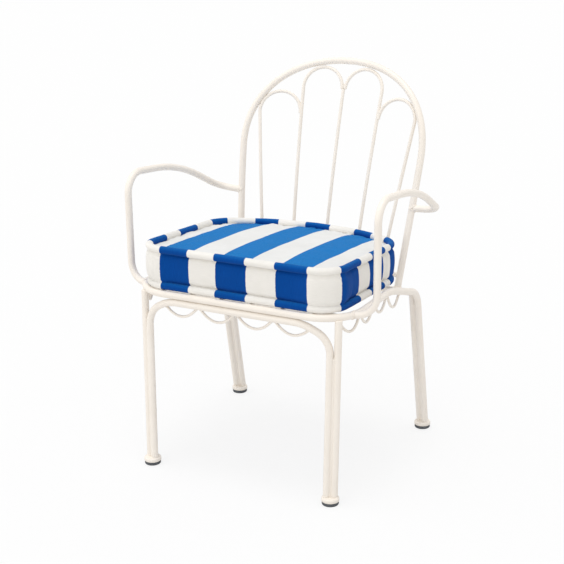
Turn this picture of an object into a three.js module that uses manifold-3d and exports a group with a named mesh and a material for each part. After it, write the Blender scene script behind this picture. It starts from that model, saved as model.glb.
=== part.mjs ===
// Outdoor armchair: bent and welded steel tube, scalloped wire apron, loose box cushion.
// Millimetres, +Z up. The sitter faces -Y and +X is the right-hand side seen from the front.
// Depths below are measured from the middle of the four feet, and the finished chair's origin
// lies on the floor in the middle of its whole width and depth.
import * as THREE from 'three';
import { mergeVertices } from 'three/addons/utils/BufferGeometryUtils.js';
import Module from 'manifold-3d';

const wasm = await Module();
wasm.setup();

// Stock and joints
const tubeDiameter = 16;
const wireDiameter = 8;
const apronWireDiameter = 6;
const seatRodDiameter = 8;
const weldGap = 0.3;
const tubeSides = 10;
const wireSides = 8;
const apronSides = 6;

// Feet and legs, each leg a pair of tubes side by side
const footRadius = 19.5;
const footPlateThickness = 9;
const footLip = 1.5;
const gliderHeight = 8;
const gliderInset = 1;
const frontFootX = 226.5;
const frontFootY = -231.4;
const rearFootX = 256.1;
const rearFootY = 231.4;
const legTopHeight = 350;
const frontLegTopX = 229.9;
const frontLegTopY = -218.5;
const rearLegTopX = 255.3;
const rearLegTopY = 165.1;
const pairTurn = THREE.MathUtils.degToRad(22);

// Seat hoop: level at the front and along the sides, then down to the rear legs
const seatHeight = 418;
const seatFrontY = -232.9;
const seatFrontBend = 87;
const seatFallY = -2.3;
const seatFallBend = 150;
const seatFallAngle = THREE.MathUtils.degToRad(17.2);
const seatRearBend = 55;

// Front rail under the hoop, with the shoulders where it turns down into the inner legs
const frontShoulderDrop = 48;
const frontRailHalf = 165;
const frontShoulderBend = 55;
const frontRailBend = 80;
const outerTubeDrop = 4;

// Rear rail between the inner rear legs, below the corner of the hoop's rear bend
const rearRailDrop = 6.1;

// Back: a surface that leans back and is bowed in plan, with a hoop and wires lying in it
const backFootY = 166;
const backFootRise = 4;
const backLean = THREE.MathUtils.degToRad(12.645);
const backBow = 32.2;
const backBowHalf = 220;
const backCurl = 16.7;
const backCurlReach = 400;
const hoopFootHalf = 209.3;
const hoopHalfWidth = 233.5;
const hoopSpread = 1.2;
const hoopSideRise = 311.7;
const hoopCrownRise = 209.7;
const hoopSquareness = 2.158;
const innerWireFoot = 83.5;
const innerWireTop = 103.5;
const innerArchGap = 14.2;
const outerFootInset = 52;
const outerTopInset = 29.5;
const outerArchGap = 38.7;

// Arms: how far their corners lie out from the seat's side, back from its front and above it
const armJointRise = 189.6;
const armBackOut = 30.3;
const armBackY = 208;
const armBackRise = 136.6;
const armBackBend = 41;
const armTopOut = 40.8;
const armTopY = 42.4;
const armTopRise = 223.2;
const armTopBend = 480;
const armFrontOut = 40.4;
const armFrontSet = 67.6;
const armFrontRise = 243.6;
const armFrontBend = 45.4;
const armKneeOut = 39.9;
const armKneeSet = 66.1;
const armKneeRise = 4;
const armKneeBend = 41;
const armFootSet = 50.5;
const armEndShort = 4;
const armHoopClearance = 20;

// Scalloped apron; the side rows start round the corner, before the straight side
const frontScallopDrop = 25;
const sideScallopDrop = 30;
const scallopCount = 4;
const scallopPinchShare = 0.5;
const frontApronHalf = 184;
const sideApronStart = -72;
const sideScallopPitch = 72;
const rearApronHalf = 130;

// Deck of rods that carries the cushion: level at the front edge, then falling to the back
const deckFallSet = 27.9;
const deckFallAngle = THREE.MathUtils.degToRad(3.7);
const deckFallBend = 60;
const seatRodCount = 6;
const seatRodPitch = 74;
const seatRodSink = 1.5;
const deckRailDiameter = 12;
const crossRodSet = 52.9;
const crossRodRearY = 82;

// Cushion: a box with a rolled edge top and bottom and a crowned top panel
const cushionOverhang = 3.1;
const cushionSideGap = 9.9;
const cushionFrontBend = 61;
const cushionTaper = 3;
const cushionSideEndY = 107;
const cushionRearBend = 83;
const cushionRearY = 178;
const cushionRearFlat = 110;
const cushionRearSweepY = 168;
const cushionRearSweep = 300;
const cushionRunStep = 60;
const cushionThickness = 98.5;
const cushionCrown = 4.5;
const cushionRoll = 17;
const cushionRollOut = 5;
const cushionWaist = 2.5;
const cushionEdgeDip = 11;

// Facets
const bendFacet = THREE.MathUtils.degToRad(10);
const uprightSteps = 6;
const crownSteps = 30;
const archSteps = 12;
const scallopSteps = 10;
const footSides = 20;
const rollSteps = 4;

// Finishes
const paintColour = 0xece4d8;
const gliderColour = 0x4c4f52;
const cushionColour = 0x2f62a8;

const tubeRadius = tubeDiameter / 2;
const wireRadius = wireDiameter / 2;
const apronWireRadius = apronWireDiameter / 2;
const seatRodRadius = seatRodDiameter / 2;
const vec = (x, y, z) => new THREE.Vector3(x, y, z);

// A circular arc from one tangent point to another, round a corner
class BendCurve extends THREE.Curve {
  constructor(start, corner, end) {
    super();
    const arriving = corner.clone().sub(start).normalize();
    const leaving = end.clone().sub(corner).normalize();
    const reach = corner.distanceTo(start);
    this.turn = arriving.angleTo(leaving);
    this.radius = reach / Math.tan(this.turn / 2);
    const inward = leaving.clone().sub(arriving.clone().multiplyScalar(Math.cos(this.turn))).normalize();
    this.centre = start.clone().addScaledVector(inward, this.radius);
    this.outward = inward.multiplyScalar(-1);
    this.along = arriving;
  }
  getPoint(t, target = new THREE.Vector3()) {
    const angle = this.turn * t;
    return target.copy(this.centre)
      .addScaledVector(this.outward, this.radius * Math.cos(angle))
      .addScaledVector(this.along, this.radius * Math.sin(angle));
  }
  getTangent(t, target = new THREE.Vector3()) {
    const angle = this.turn * t;
    return target.copy(this.outward).multiplyScalar(-Math.sin(angle))
      .addScaledVector(this.along, Math.cos(angle)).normalize();
  }
}

// A curve given by a formula of 0 to 1
class FormulaCurve extends THREE.Curve {
  constructor(formula) {
    super();
    this.formula = formula;
  }
  getPoint(t, target = new THREE.Vector3()) {
    return target.copy(this.formula(t));
  }
}

// A route of sections, each with its own number of steps, so bends get more than straights
class Route extends THREE.Curve {
  constructor(sections) {
    super();
    this.sections = sections;
    this.steps = sections.reduce((sum, section) => sum + section.steps, 0);
  }
  locate(u) {
    let left = u * this.steps;
    for (const section of this.sections) {
      if (left <= section.steps || section === this.sections.at(-1)) {
        return [section.curve, THREE.MathUtils.clamp(left / section.steps, 0, 1)];
      }
      left -= section.steps;
    }
    return null;
  }
  getPoint(u, target = new THREE.Vector3()) {
    const [curve, t] = this.locate(u);
    return curve.getPoint(t, target);
  }
  getPointAt(u, target) {
    return this.getPoint(u, target);
  }
  getTangentAt(u, target = new THREE.Vector3()) {
    const [curve, t] = this.locate(u);
    return curve.getTangent(t, target);
  }
}

const section = (curve, steps) => ({ curve, steps });

// Straight runs between corners, each corner { at, bend } rounded to its bend radius
function bentSections(start, corners, end) {
  const sections = [];
  let from = start;
  corners.forEach((corner, i) => {
    const next = i + 1 < corners.length ? corners[i + 1].at : end;
    const arriving = corner.at.clone().sub(from).normalize();
    const leaving = next.clone().sub(corner.at).normalize();
    const turn = arriving.angleTo(leaving);
    const reach = corner.bend * Math.tan(turn / 2);
    const bendStart = corner.at.clone().addScaledVector(arriving, -reach);
    const bendEnd = corner.at.clone().addScaledVector(leaving, reach);
    sections.push(section(new THREE.LineCurve3(from, bendStart), 1));
    sections.push(section(new BendCurve(bendStart, corner.at, bendEnd), Math.ceil(turn / bendFacet)));
    from = bendEnd;
  });
  sections.push(section(new THREE.LineCurve3(from, end), 1));
  return sections;
}
const bentRoute = (...run) => new Route(bentSections(...run));
const straightRoute = (...ends) => new Route([section(new THREE.LineCurve3(...ends), 1)]);

const flip = (point) => vec(-point.x, point.y, point.z);
const flipCorner = (corner) => ({ ...corner, at: flip(corner.at) });
const bothSides = (corners) => [...corners.map(flipCorner), ...corners.toReversed()];

// A round bar swept along a route
function bar(route, diameter, sides) {
  const outline = new THREE.Shape();
  for (let i = 0; i < sides; i += 1) {
    const angle = (2 * Math.PI * (i + 1 / 2)) / sides;
    const point = [Math.cos(angle) * diameter / 2, Math.sin(angle) * diameter / 2];
    if (i === 0) outline.moveTo(...point);
    else outline.lineTo(...point);
  }
  outline.closePath();
  const steps = route.steps;
  return new THREE.ExtrudeGeometry(outline, { steps, extrudePath: route, bevelEnabled: false });
}

const tube = (route) => bar(route, tubeDiameter, tubeSides);
const tubeClearance = (route) => bar(route, tubeDiameter + 2 * weldGap, tubeSides);

function toSolid(geometry) {
  const plain = geometry.clone();
  plain.deleteAttribute('normal');
  plain.deleteAttribute('uv');
  const merged = mergeVertices(plain);
  const vertProperties = new Float32Array(merged.attributes.position.array);
  const triVerts = new Uint32Array(merged.index.array);
  return new wasm.Manifold(new wasm.Mesh({ numProp: 3, vertProperties, triVerts }));
}

function toGeometry(solid) {
  const mesh = solid.getMesh();
  const geometry = new THREE.BufferGeometry();
  geometry.setAttribute('position', new THREE.BufferAttribute(new Float32Array(mesh.vertProperties), 3));
  geometry.setIndex(new THREE.BufferAttribute(new Uint32Array(mesh.triVerts), 1));
  geometry.computeVertexNormals();
  return geometry;
}

// A bar's end is coped to the bars that it is welded to
function cope(geometry, ...cutters) {
  const solid = cutters.reduce((body, cutter) => body.subtract(toSolid(cutter)), toSolid(geometry));
  return toGeometry(solid);
}

const paint = () => new THREE.MeshStandardMaterial({ color: paintColour, roughness: 0.5, metalness: 0 });
const rubber = () => new THREE.MeshStandardMaterial({ color: gliderColour, roughness: 0.8, metalness: 0 });
const fabric = () => new THREE.MeshStandardMaterial({ color: cushionColour, roughness: 0.95, metalness: 0 });

const chair = new THREE.Group();
function addMesh(name, geometry, material, parent = chair) {
  const mesh = new THREE.Mesh(geometry, material);
  mesh.name = name;
  parent.add(mesh);
  return mesh;
}

// Places on a leg pair: side is +1 or -1, and each leg has an inner and an outer tube
const pairHalf = (tubeDiameter + weldGap) / 2;
const pairAcross = pairHalf * Math.cos(pairTurn);
const pairAlong = pairHalf * Math.sin(pairTurn);
const legs = {
  front: { foot: [frontFootX, frontFootY], top: [frontLegTopX, frontLegTopY], along: pairAlong },
  rear: { foot: [rearFootX, rearFootY], top: [rearLegTopX, rearLegTopY], along: -pairAlong },
};
function legPoint(leg, side, which, z) {
  const share = z / legTopHeight;
  const sign = which === 'outer' ? 1 : -1;
  const x = THREE.MathUtils.lerp(leg.foot[0], leg.top[0], share) + sign * pairAcross;
  const y = THREE.MathUtils.lerp(leg.foot[1], leg.top[1], share) + sign * leg.along;
  return vec(side * x, y, z);
}

const footTop = gliderHeight + weldGap + footPlateThickness;
const legEnd = footTop - footPlateThickness / 2;

// Everything below the top of the foot plates is cut off the legs
function floorCutter() {
  const reach = 2 * (rearFootX + rearFootY);
  const height = footTop + weldGap;
  const box = new THREE.BoxGeometry(reach, reach, height);
  box.translate(0, 0, height / 2);
  return box;
}

// Seat hoop: outer rear leg, side, front, side and outer rear leg in one bent tube
const seatFallSlope = Math.tan(seatFallAngle);
const outerRearFoot = legPoint(legs.rear, 1, 'outer', 0);
const outerRearTop = legPoint(legs.rear, 1, 'outer', legTopHeight);
const rearLegSlope = (outerRearTop.y - outerRearFoot.y) / legTopHeight;
const fallAtFoot = seatHeight - (outerRearFoot.y - seatFallY) * seatFallSlope;
const rearBendHeight = fallAtFoot / (1 + seatFallSlope * rearLegSlope);
const seatHalfWidth = outerRearTop.x;
const seatCorners = [
  { at: legPoint(legs.rear, 1, 'outer', rearBendHeight), bend: seatRearBend },
  { at: vec(seatHalfWidth, seatFallY, seatHeight), bend: seatFallBend },
  { at: vec(seatHalfWidth, seatFrontY, seatHeight), bend: seatFrontBend },
];
const seatLegEnd = legPoint(legs.rear, 1, 'outer', legEnd);
const seatRoute = bentRoute(flip(seatLegEnd), bothSides(seatCorners), seatLegEnd);
addMesh('seat_hoop', cope(tube(seatRoute), floorCutter()), paint());
const seatClearance = () => tubeClearance(seatRoute);

// The right and the left half of the hoop, each from the middle of the front
const seatMiddle = vec(0, seatFrontY, seatHeight);
const seatHalves = {
  right: bentRoute(seatMiddle, seatCorners.toReversed(), seatLegEnd),
  left: bentRoute(seatMiddle, seatCorners.toReversed().map(flipCorner), flip(seatLegEnd)),
};

// Front leg frame: two inner legs and the rail under the front of the hoop, one bent tube
const frontCorners = [
  { at: legPoint(legs.front, 1, 'inner', seatHeight - frontShoulderDrop), bend: frontShoulderBend },
  { at: vec(frontRailHalf, seatFrontY, seatHeight - tubeDiameter - weldGap), bend: frontRailBend },
];
const frontLegEnd = legPoint(legs.front, 1, 'inner', legEnd);
const frontRoute = bentRoute(flip(frontLegEnd), bothSides(frontCorners), frontLegEnd);
addMesh('front_leg_frame', cope(tube(frontRoute), floorCutter(), seatClearance()), paint());

// Straight leg tubes: the outer front ones reach the hoop's corners, and the inner rear
// ones stand beside the hoop's own legs and carry the rear rail
const sides = [['right', 1], ['left', -1]];
const rearRailHeight = rearBendHeight - rearRailDrop;
const rearTubeTop = rearRailHeight + tubeRadius;
for (const [name, side] of sides) {
  const ends = [legEnd, seatHeight - outerTubeDrop].map((z) => legPoint(legs.front, side, 'outer', z));
  const front = cope(tube(straightRoute(...ends)), floorCutter(), seatClearance());
  addMesh(`front_${name}_leg_tube`, front, paint());
}
const rearTubes = sides.map(([, side]) => {
  const ends = [legEnd, rearTubeTop].map((z) => legPoint(legs.rear, side, 'inner', z));
  return straightRoute(...ends);
});
sides.forEach(([name], i) => {
  const rear = cope(tube(rearTubes[i]), floorCutter(), seatClearance());
  addMesh(`rear_${name}_leg_tube`, rear, paint());
});
const rearRailEnd = legPoint(legs.rear, 1, 'inner', rearRailHeight);
const rearRoute = straightRoute(flip(rearRailEnd), rearRailEnd);
addMesh('rear_rail', cope(tube(rearRoute), ...rearTubes.map(tubeClearance)), paint());

// Feet: a painted steel cup under each leg pair and a rubber glider under the cup
function footCup() {
  const profile = [
    new THREE.Vector2(0, 0),
    new THREE.Vector2(footRadius, 0),
    new THREE.Vector2(footRadius, footPlateThickness - footLip),
    new THREE.Vector2(footRadius - footLip, footPlateThickness),
    new THREE.Vector2(0, footPlateThickness),
  ];
  return new THREE.LatheGeometry(profile, footSides).rotateX(Math.PI / 2);
}
function glider() {
  const radius = footRadius - gliderInset;
  const profile = [
    new THREE.Vector2(0, 0),
    new THREE.Vector2(radius - footLip, 0),
    new THREE.Vector2(radius, footLip),
    new THREE.Vector2(radius, gliderHeight),
    new THREE.Vector2(0, gliderHeight),
  ];
  return new THREE.LatheGeometry(profile, footSides).rotateX(Math.PI / 2);
}
for (const [row, leg] of Object.entries(legs)) {
  for (const [name, side] of sides) {
    const foot = new THREE.Group();
    const height = footTop / legTopHeight;
    const x = side * THREE.MathUtils.lerp(leg.foot[0], leg.top[0], height);
    foot.position.set(x, THREE.MathUtils.lerp(leg.foot[1], leg.top[1], height), 0);
    addMesh(`${row}_${name}_glider`, glider(), rubber(), foot);
    addMesh(`${row}_${name}_foot_cup`, footCup(), paint(), foot).position.z = gliderHeight + weldGap;
    chair.add(foot);
  }
}

// The back surface: u across, v up along it
const backFootHeight = rearRailHeight + backFootRise;
const bowAt = (u) => backBow * (1 - (u / backBowHalf) ** 2);
function backPoint(u, v) {
  const bowed = bowAt(u) + backCurl * (v / backCurlReach) ** 2;
  const y = backFootY + v * Math.sin(backLean) + bowed * Math.cos(backLean);
  const z = backFootHeight + v * Math.cos(backLean) - bowed * Math.sin(backLean);
  return vec(u, y, z);
}
const onBack = (formula) => new FormulaCurve((t) => backPoint(...formula(t)));

// Back hoop: sides that spread upwards and a squarish round crown, one bent tube
function hoopSide(t) {
  const u = hoopHalfWidth - (hoopHalfWidth - hoopFootHalf) * (1 - t) ** hoopSpread;
  return [u, hoopSideRise * t];
}
function hoopCrown(t) {
  const angle = Math.PI * t;
  const power = 2 / hoopSquareness;
  const across = Math.sign(Math.cos(angle)) * Math.abs(Math.cos(angle)) ** power;
  return [hoopHalfWidth * across, hoopSideRise + hoopCrownRise * Math.sin(angle) ** power];
}
const hoopRoute = new Route([
  section(onBack((t) => hoopSide(t)), uprightSteps),
  section(onBack((t) => hoopCrown(t)), crownSteps),
  section(onBack((t) => [-hoopSide(1 - t)[0], hoopSide(1 - t)[1]]), uprightSteps),
]);
const hoopClearance = () => tubeClearance(hoopRoute);
addMesh('back_hoop', cope(tube(hoopRoute), tubeClearance(rearRoute)), paint());

// Deck: the height that the rods' tops keep below, and where it meets the back surface
const deckSlope = Math.tan(deckFallAngle);
const deckFallY = seatFrontY + deckFallSet;
const deckZ = (y) => seatHeight - deckSlope * Math.max(0, y - deckFallY);
const rodRise = tubeRadius - seatRodRadius - seatRodSink;
function deckRise(u) {
  const lean = Math.sin(backLean) - deckSlope * Math.cos(backLean);
  const rise = deckZ(backFootY) + rodRise - backFootHeight + bowAt(u) * lean;
  return rise / (Math.cos(backLean) + deckSlope * Math.sin(backLean));
}
const deckRailRoute = new Route([
  section(onBack((t) => [hoopFootHalf * (2 * t - 1), deckRise(hoopFootHalf * (2 * t - 1))]), archSteps),
]);
const deckRailClearance = () => bar(deckRailRoute, deckRailDiameter + 2 * weldGap, tubeSides);
const deckRail = bar(deckRailRoute, deckRailDiameter, tubeSides);
addMesh('deck_rail', cope(deckRail, hoopClearance()), paint());

// Back wires: a centre upright, and canes whose tops arch over to the next wire. An arch's
// top lies a gap below the hoop's crown there.
const wire = (route) => bar(route, wireDiameter, wireSides);
const wireClearance = (route) => bar(route, wireDiameter + 2 * weldGap, wireSides);
const archEnd = (wireDiameter + weldGap) / 2;
const outerWireFoot = hoopFootHalf - outerFootInset;
const outerWireTop = hoopHalfWidth - outerTopInset;
function archSpring(top, tip, gap) {
  const inShare = (Math.abs(top + tip) / 2 / hoopHalfWidth) ** hoopSquareness;
  const hoopTop = hoopSideRise + hoopCrownRise * (1 - inShare) ** (1 / hoopSquareness);
  return hoopTop - gap - (top - tip) / 2;
}
const innerArchSpring = archSpring(innerWireTop, archEnd, innerArchGap);
const outerArchSpring = archSpring(outerWireTop, innerWireTop, outerArchGap);
const upright = (side, foot, top, spring) => onBack((t) => {
  const u = side * THREE.MathUtils.lerp(foot, top, t);
  return [u, THREE.MathUtils.lerp(deckRise(u), spring, t)];
});
function caneRoute(side, foot, top, spring, tip) {
  const span = (top - tip) / 2;
  const middle = (top + tip) / 2;
  const arch = onBack((t) => {
    const angle = Math.PI * t;
    return [side * (middle + span * Math.cos(angle)), spring + span * Math.sin(angle)];
  });
  return new Route([section(upright(side, foot, top, spring), uprightSteps), section(arch, archSteps)]);
}
const centreWireRoute = new Route([section(upright(1, 0, 0, innerArchSpring), uprightSteps)]);
addMesh('back_centre_wire', cope(wire(centreWireRoute), deckRailClearance()), paint());
for (const [name, side] of sides) {
  const welds = [deckRailClearance(), hoopClearance()];
  const innerRoute = caneRoute(side, innerWireFoot, innerWireTop, innerArchSpring, archEnd);
  const inner = cope(wire(innerRoute), ...welds, wireClearance(centreWireRoute));
  addMesh(`back_inner_cane_${name}`, inner, paint());
  const outerRoute = caneRoute(side, outerWireFoot, outerWireTop, outerArchSpring, innerWireTop);
  const outer = cope(wire(outerRoute), ...welds, wireClearance(innerRoute));
  addMesh(`back_outer_cane_${name}`, outer, paint());
}

// The place on a route where x or y, which rises all along it, has a value
const halvings = 24;
function routeAt(route, axis, value) {
  let [low, high] = [0, 1];
  for (let i = 0; i < halvings; i += 1) {
    const middle = (low + high) / 2;
    if (route.getPoint(middle)[axis] < value) low = middle;
    else high = middle;
  }
  return low;
}

// Arms: from the back hoop out and forward, then down to the seat hoop's front corner. Their
// back bends stand out from the seat's side, or from the back hoop's where that is wider. Both
// ends stop a little short of the centre lines that they point at.
const short = (end, next) => end.clone().addScaledVector(next.clone().sub(end).normalize(), armEndShort);
const armPoint = (half, out, y, rise) => vec(half + out, y, seatHeight + rise);
const armBackHalf = Math.max(seatHalfWidth, hoopHalfWidth + armHoopClearance);
const armCorners = [
  { at: armPoint(armBackHalf, armBackOut, armBackY, armBackRise), bend: armBackBend },
  { at: armPoint(armBackHalf, armTopOut, armTopY, armTopRise), bend: armTopBend },
  { at: armPoint(seatHalfWidth, armFrontOut, seatFrontY + armFrontSet, armFrontRise), bend: armFrontBend },
  { at: armPoint(seatHalfWidth, armKneeOut, seatFrontY + armKneeSet, armKneeRise), bend: armKneeBend },
];
for (const [name, side] of sides) {
  const joint = backPoint(side * hoopSide(armJointRise / hoopSideRise)[0], armJointRise);
  const corners = side > 0 ? armCorners : armCorners.map(flipCorner);
  const foot = seatHalves[name].getPoint(routeAt(seatHalves[name], 'y', seatFrontY + armFootSet));
  const start = short(joint, corners[0].at);
  const route = bentRoute(start, corners, short(foot, corners.at(-1).at));
  addMesh(`arm_${name}`, cope(tube(route), hoopClearance(), seatClearance()), paint());
}

// Apron wires: a row of scallops hanging from the inner lower side of a rail. The values of
// the axis come from a function of the row's length, and the cusps are drawn in.
const apronSeat = tubeRadius + apronWireRadius + weldGap;
function apronWire(rail, axis, valueAt, drop, inward) {
  const formula = (t) => {
    const turn = 2 * Math.PI * scallopCount * t;
    const share = t - (scallopPinchShare * Math.sin(turn)) / (2 * Math.PI * scallopCount);
    const place = routeAt(rail, axis, valueAt(share));
    const along = rail.getTangentAt(place);
    const off = inward.clone().add(vec(0, 0, -1));
    off.addScaledVector(along, -off.dot(along)).setLength(apronSeat);
    const point = rail.getPoint(place).add(off);
    point.z -= (drop * (1 - Math.cos(turn))) / 2;
    return point;
  };
  const route = new Route([section(new FormulaCurve(formula), scallopCount * scallopSteps)]);
  return cope(bar(route, apronWireDiameter, apronSides), tubeClearance(rail));
}
const across = (half) => (share) => half * (2 * share - 1);
function sideDepth(share) {
  const reach = sideApronStart + scallopCount * sideScallopPitch * share;
  const round = reach < 0 ? seatFrontBend * Math.sin(reach / seatFrontBend) : reach;
  return seatFrontY + seatFrontBend + round;
}
const frontApron = apronWire(frontRoute, 'x', across(frontApronHalf), frontScallopDrop, vec(0, 1, 0));
addMesh('apron_front', frontApron, paint());
const rearApron = apronWire(rearRoute, 'x', across(rearApronHalf), frontScallopDrop, vec(0, -1, 0));
addMesh('apron_rear', rearApron, paint());
for (const [name, side] of sides) {
  const apron = apronWire(seatHalves[name], 'y', sideDepth, sideScallopDrop, vec(-side, 0, 0));
  addMesh(`apron_${name}`, apron, paint());
}

// Rods of the deck, from the hoop's front to the deck rail, and two cross rods under them
const rod = (route) => bar(route, seatRodDiameter, wireSides);
for (let i = 0; i < seatRodCount; i += 1) {
  const x = (i - (seatRodCount - 1) / 2) * seatRodPitch;
  const start = vec(x, seatFrontY, seatHeight + rodRise);
  const fall = { at: vec(x, deckFallY, seatHeight + rodRise), bend: deckFallBend };
  const route = bentRoute(start, [fall], backPoint(x, deckRise(x)));
  addMesh(`seat_rod_${i + 1}`, cope(rod(route), seatClearance(), deckRailClearance()), paint());
}
for (const [name, y] of [['front', seatFrontY + crossRodSet], ['rear', crossRodRearY]]) {
  const reach = seatHalves.right.getPoint(routeAt(seatHalves.right, 'y', y)).x;
  const end = vec(reach, y, deckZ(y) + rodRise - seatRodDiameter - weldGap);
  const route = straightRoute(flip(end), end);
  addMesh(`cross_rod_${name}`, cope(rod(route), seatClearance()), paint());
}

// Cushion outline in plan, with its long runs split
const cushionFrontY = seatFrontY - cushionOverhang;
const cushionHalf = seatHalfWidth - tubeRadius - cushionSideGap;
const cushionCorners = [
  { at: vec(cushionRearFlat, cushionRearSweepY, 0), bend: cushionRearSweep },
  { at: vec(cushionHalf - cushionTaper, cushionSideEndY, 0), bend: cushionRearBend },
  { at: vec(cushionHalf, cushionFrontY, 0), bend: cushionFrontBend },
];
const cushionMiddle = vec(0, cushionRearY, 0);
const cushionSections = bentSections(cushionMiddle, bothSides(cushionCorners), cushionMiddle);
const cushionPlan = new Route(cushionSections.map(({ curve, steps }) => {
  const runs = curve.isLineCurve3 ? Math.ceil(curve.getLength() / cushionRunStep) : steps;
  return section(curve, runs);
}));
const cushionCentre = vec(0, (cushionFrontY + cushionRearY) / 2, 0);

// Profile rows round the edge: inset from the outline, and height above the base
const rollRadius = cushionRoll / 2;
const waistShares = [0.25, 0.5, 0.75];
const panelShares = [0.7, 0.4, 0.15];
function cushionProfile() {
  const rows = [];
  const roll = (middle) => {
    for (let i = 0; i <= rollSteps; i += 1) {
      const angle = Math.PI * (i / rollSteps - 1 / 2);
      rows.push([cushionRollOut * (1 - Math.cos(angle)), middle + rollRadius * Math.sin(angle)]);
    }
  };
  roll(rollRadius);
  for (const share of waistShares) {
    const height = THREE.MathUtils.lerp(cushionRoll, cushionThickness - cushionRoll, share);
    rows.push([cushionRollOut + cushionWaist * Math.sin(Math.PI * share), height]);
  }
  roll(cushionThickness - rollRadius);
  return rows;
}
function cushionGeometry() {
  const count = cushionPlan.steps;
  const outline = [];
  for (let i = 0; i < count; i += 1) {
    const along = cushionPlan.getTangentAt(i / count);
    outline.push({ at: cushionPlan.getPoint(i / count), inward: vec(-along.y, along.x, 0) });
  }
  const positions = [];
  const place = (x, y, height) => positions.push(x, y, deckZ(y) + tubeRadius + weldGap + height);
  const ring = (inset, share, height) => {
    for (const { at, inward } of outline) {
      const point = at.clone().addScaledVector(inward, inset).lerp(cushionCentre, share);
      place(point.x, point.y, height);
    }
  };
  const panelInset = cushionRollOut + cushionRoll;
  const edgeHeight = cushionThickness - cushionEdgeDip;
  const rows = cushionProfile();
  panelShares.forEach((share) => ring(panelInset, share, 0));
  rows.forEach(([inset, height]) => ring(inset, 0, height));
  panelShares.toReversed().forEach((share) => {
    ring(panelInset, share, edgeHeight + cushionCrown * Math.sin(share * Math.PI / 2));
  });
  const rowTotal = rows.length + 2 * panelShares.length;
  place(cushionCentre.x, cushionCentre.y, 0);
  place(cushionCentre.x, cushionCentre.y, edgeHeight + cushionCrown);
  const base = rowTotal * count;
  const faces = [];
  for (let i = 0; i < count; i += 1) {
    const next = (i + 1) % count;
    faces.push(base, next, i);
    faces.push(base + 1, (rowTotal - 1) * count + i, (rowTotal - 1) * count + next);
    for (let row = 0; row + 1 < rowTotal; row += 1) {
      const low = row * count;
      const high = low + count;
      faces.push(low + i, high + next, high + i, low + i, low + next, high + next);
    }
  }
  const geometry = new THREE.BufferGeometry();
  geometry.setAttribute('position', new THREE.Float32BufferAttribute(positions, 3));
  geometry.setIndex(faces);
  geometry.computeVertexNormals();
  return geometry;
}
addMesh('seat_cushion', cushionGeometry(), fabric());

// The origin goes to the middle of the whole depth
const extent = new THREE.Box3().setFromObject(chair);
chair.position.y = -(extent.min.y + extent.max.y) / 2;

export default chair;
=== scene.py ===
"""Outdoor armchair of bent and welded steel tube, with a scalloped wire apron and a loose
striped box cushion. Metres, +Z up, the sitter faces -Y, and the origin lies on the floor in
the middle of the whole width and depth."""

import math

import bpy
import numpy as np
from bpy.props import FloatProperty, FloatVectorProperty, IntProperty, PointerProperty
from mathutils import Matrix, Vector, kdtree, noise


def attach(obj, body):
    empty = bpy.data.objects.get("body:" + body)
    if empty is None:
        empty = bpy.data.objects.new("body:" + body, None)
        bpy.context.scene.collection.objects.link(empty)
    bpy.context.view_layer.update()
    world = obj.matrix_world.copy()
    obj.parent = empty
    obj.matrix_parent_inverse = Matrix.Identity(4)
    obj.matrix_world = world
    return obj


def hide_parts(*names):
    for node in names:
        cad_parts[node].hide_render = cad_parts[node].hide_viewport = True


bl_info = {
    "name": "Scalloped Tube Armchair",
    "version": (1, 0, 0),
    "blender": (4, 5, 0),
    "location": "3D View > Sidebar > Armchair",
    "description": "Builds a welded tube armchair with a striped box cushion, piece by piece",
    "category": "Add Mesh",
}

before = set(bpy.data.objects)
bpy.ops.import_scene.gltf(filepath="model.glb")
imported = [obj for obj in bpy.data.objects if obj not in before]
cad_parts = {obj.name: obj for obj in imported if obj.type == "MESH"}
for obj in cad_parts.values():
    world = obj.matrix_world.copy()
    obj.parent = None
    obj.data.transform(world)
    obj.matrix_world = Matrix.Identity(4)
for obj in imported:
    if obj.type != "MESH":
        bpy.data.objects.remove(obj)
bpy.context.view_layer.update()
WELD_GAP = 0.0003
SIDES = (("right", 1), ("left", -1))
LEG_PAIRS = tuple((row, name, side) for row in ("front", "rear") for name, side in SIDES)

# How finely shapes are drawn
SHARP_EDGE = math.radians(50)
BEND_FACET = math.radians(4)
HOOP_SIDE_STEPS = 24
HOOP_CROWN_STEPS = 120
DECK_RAIL_STEPS = 48
UPRIGHT_STEPS = 32
ARCH_STEPS = 36
SCALLOP_STEPS = 24
SADDLE_STEPS = 40
SADDLE_HALVINGS = 16
BEAD_SIDES = 8
FOOT_SIDES = 56
ROLL_SIDES = 22
ROLL_SPACING = 0.004
EDGE_SPACING = 0.003
SHELL_SPACING = 0.007
SAME_PLACE = 1e-6
NEARLY_UPRIGHT = 0.1


def size(name, description, default):
    return FloatProperty(
        name=name, description=description, default=default, unit="LENGTH", precision=4
    )


def ratio(name, description, default):
    return FloatProperty(name=name, description=description, default=default, subtype="FACTOR")


def number(name, description, default):
    return FloatProperty(name=name, description=description, default=default)


def turn(name, description, degrees):
    return FloatProperty(
        name=name, description=description, default=math.radians(degrees), subtype="ANGLE"
    )


def place(name, description, default):
    return FloatVectorProperty(
        name=name, description=description, default=default, size=len(default), unit="LENGTH"
    )


def direction(name, description, default):
    return FloatVectorProperty(
        name=name, description=description, default=default, subtype="DIRECTION"
    )


def colour(name, description, default):
    return FloatVectorProperty(
        name=name, description=description, default=default, subtype="COLOR", min=0, max=1
    )


def count(name, description, default):
    return IntProperty(name=name, description=description, default=default)


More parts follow.
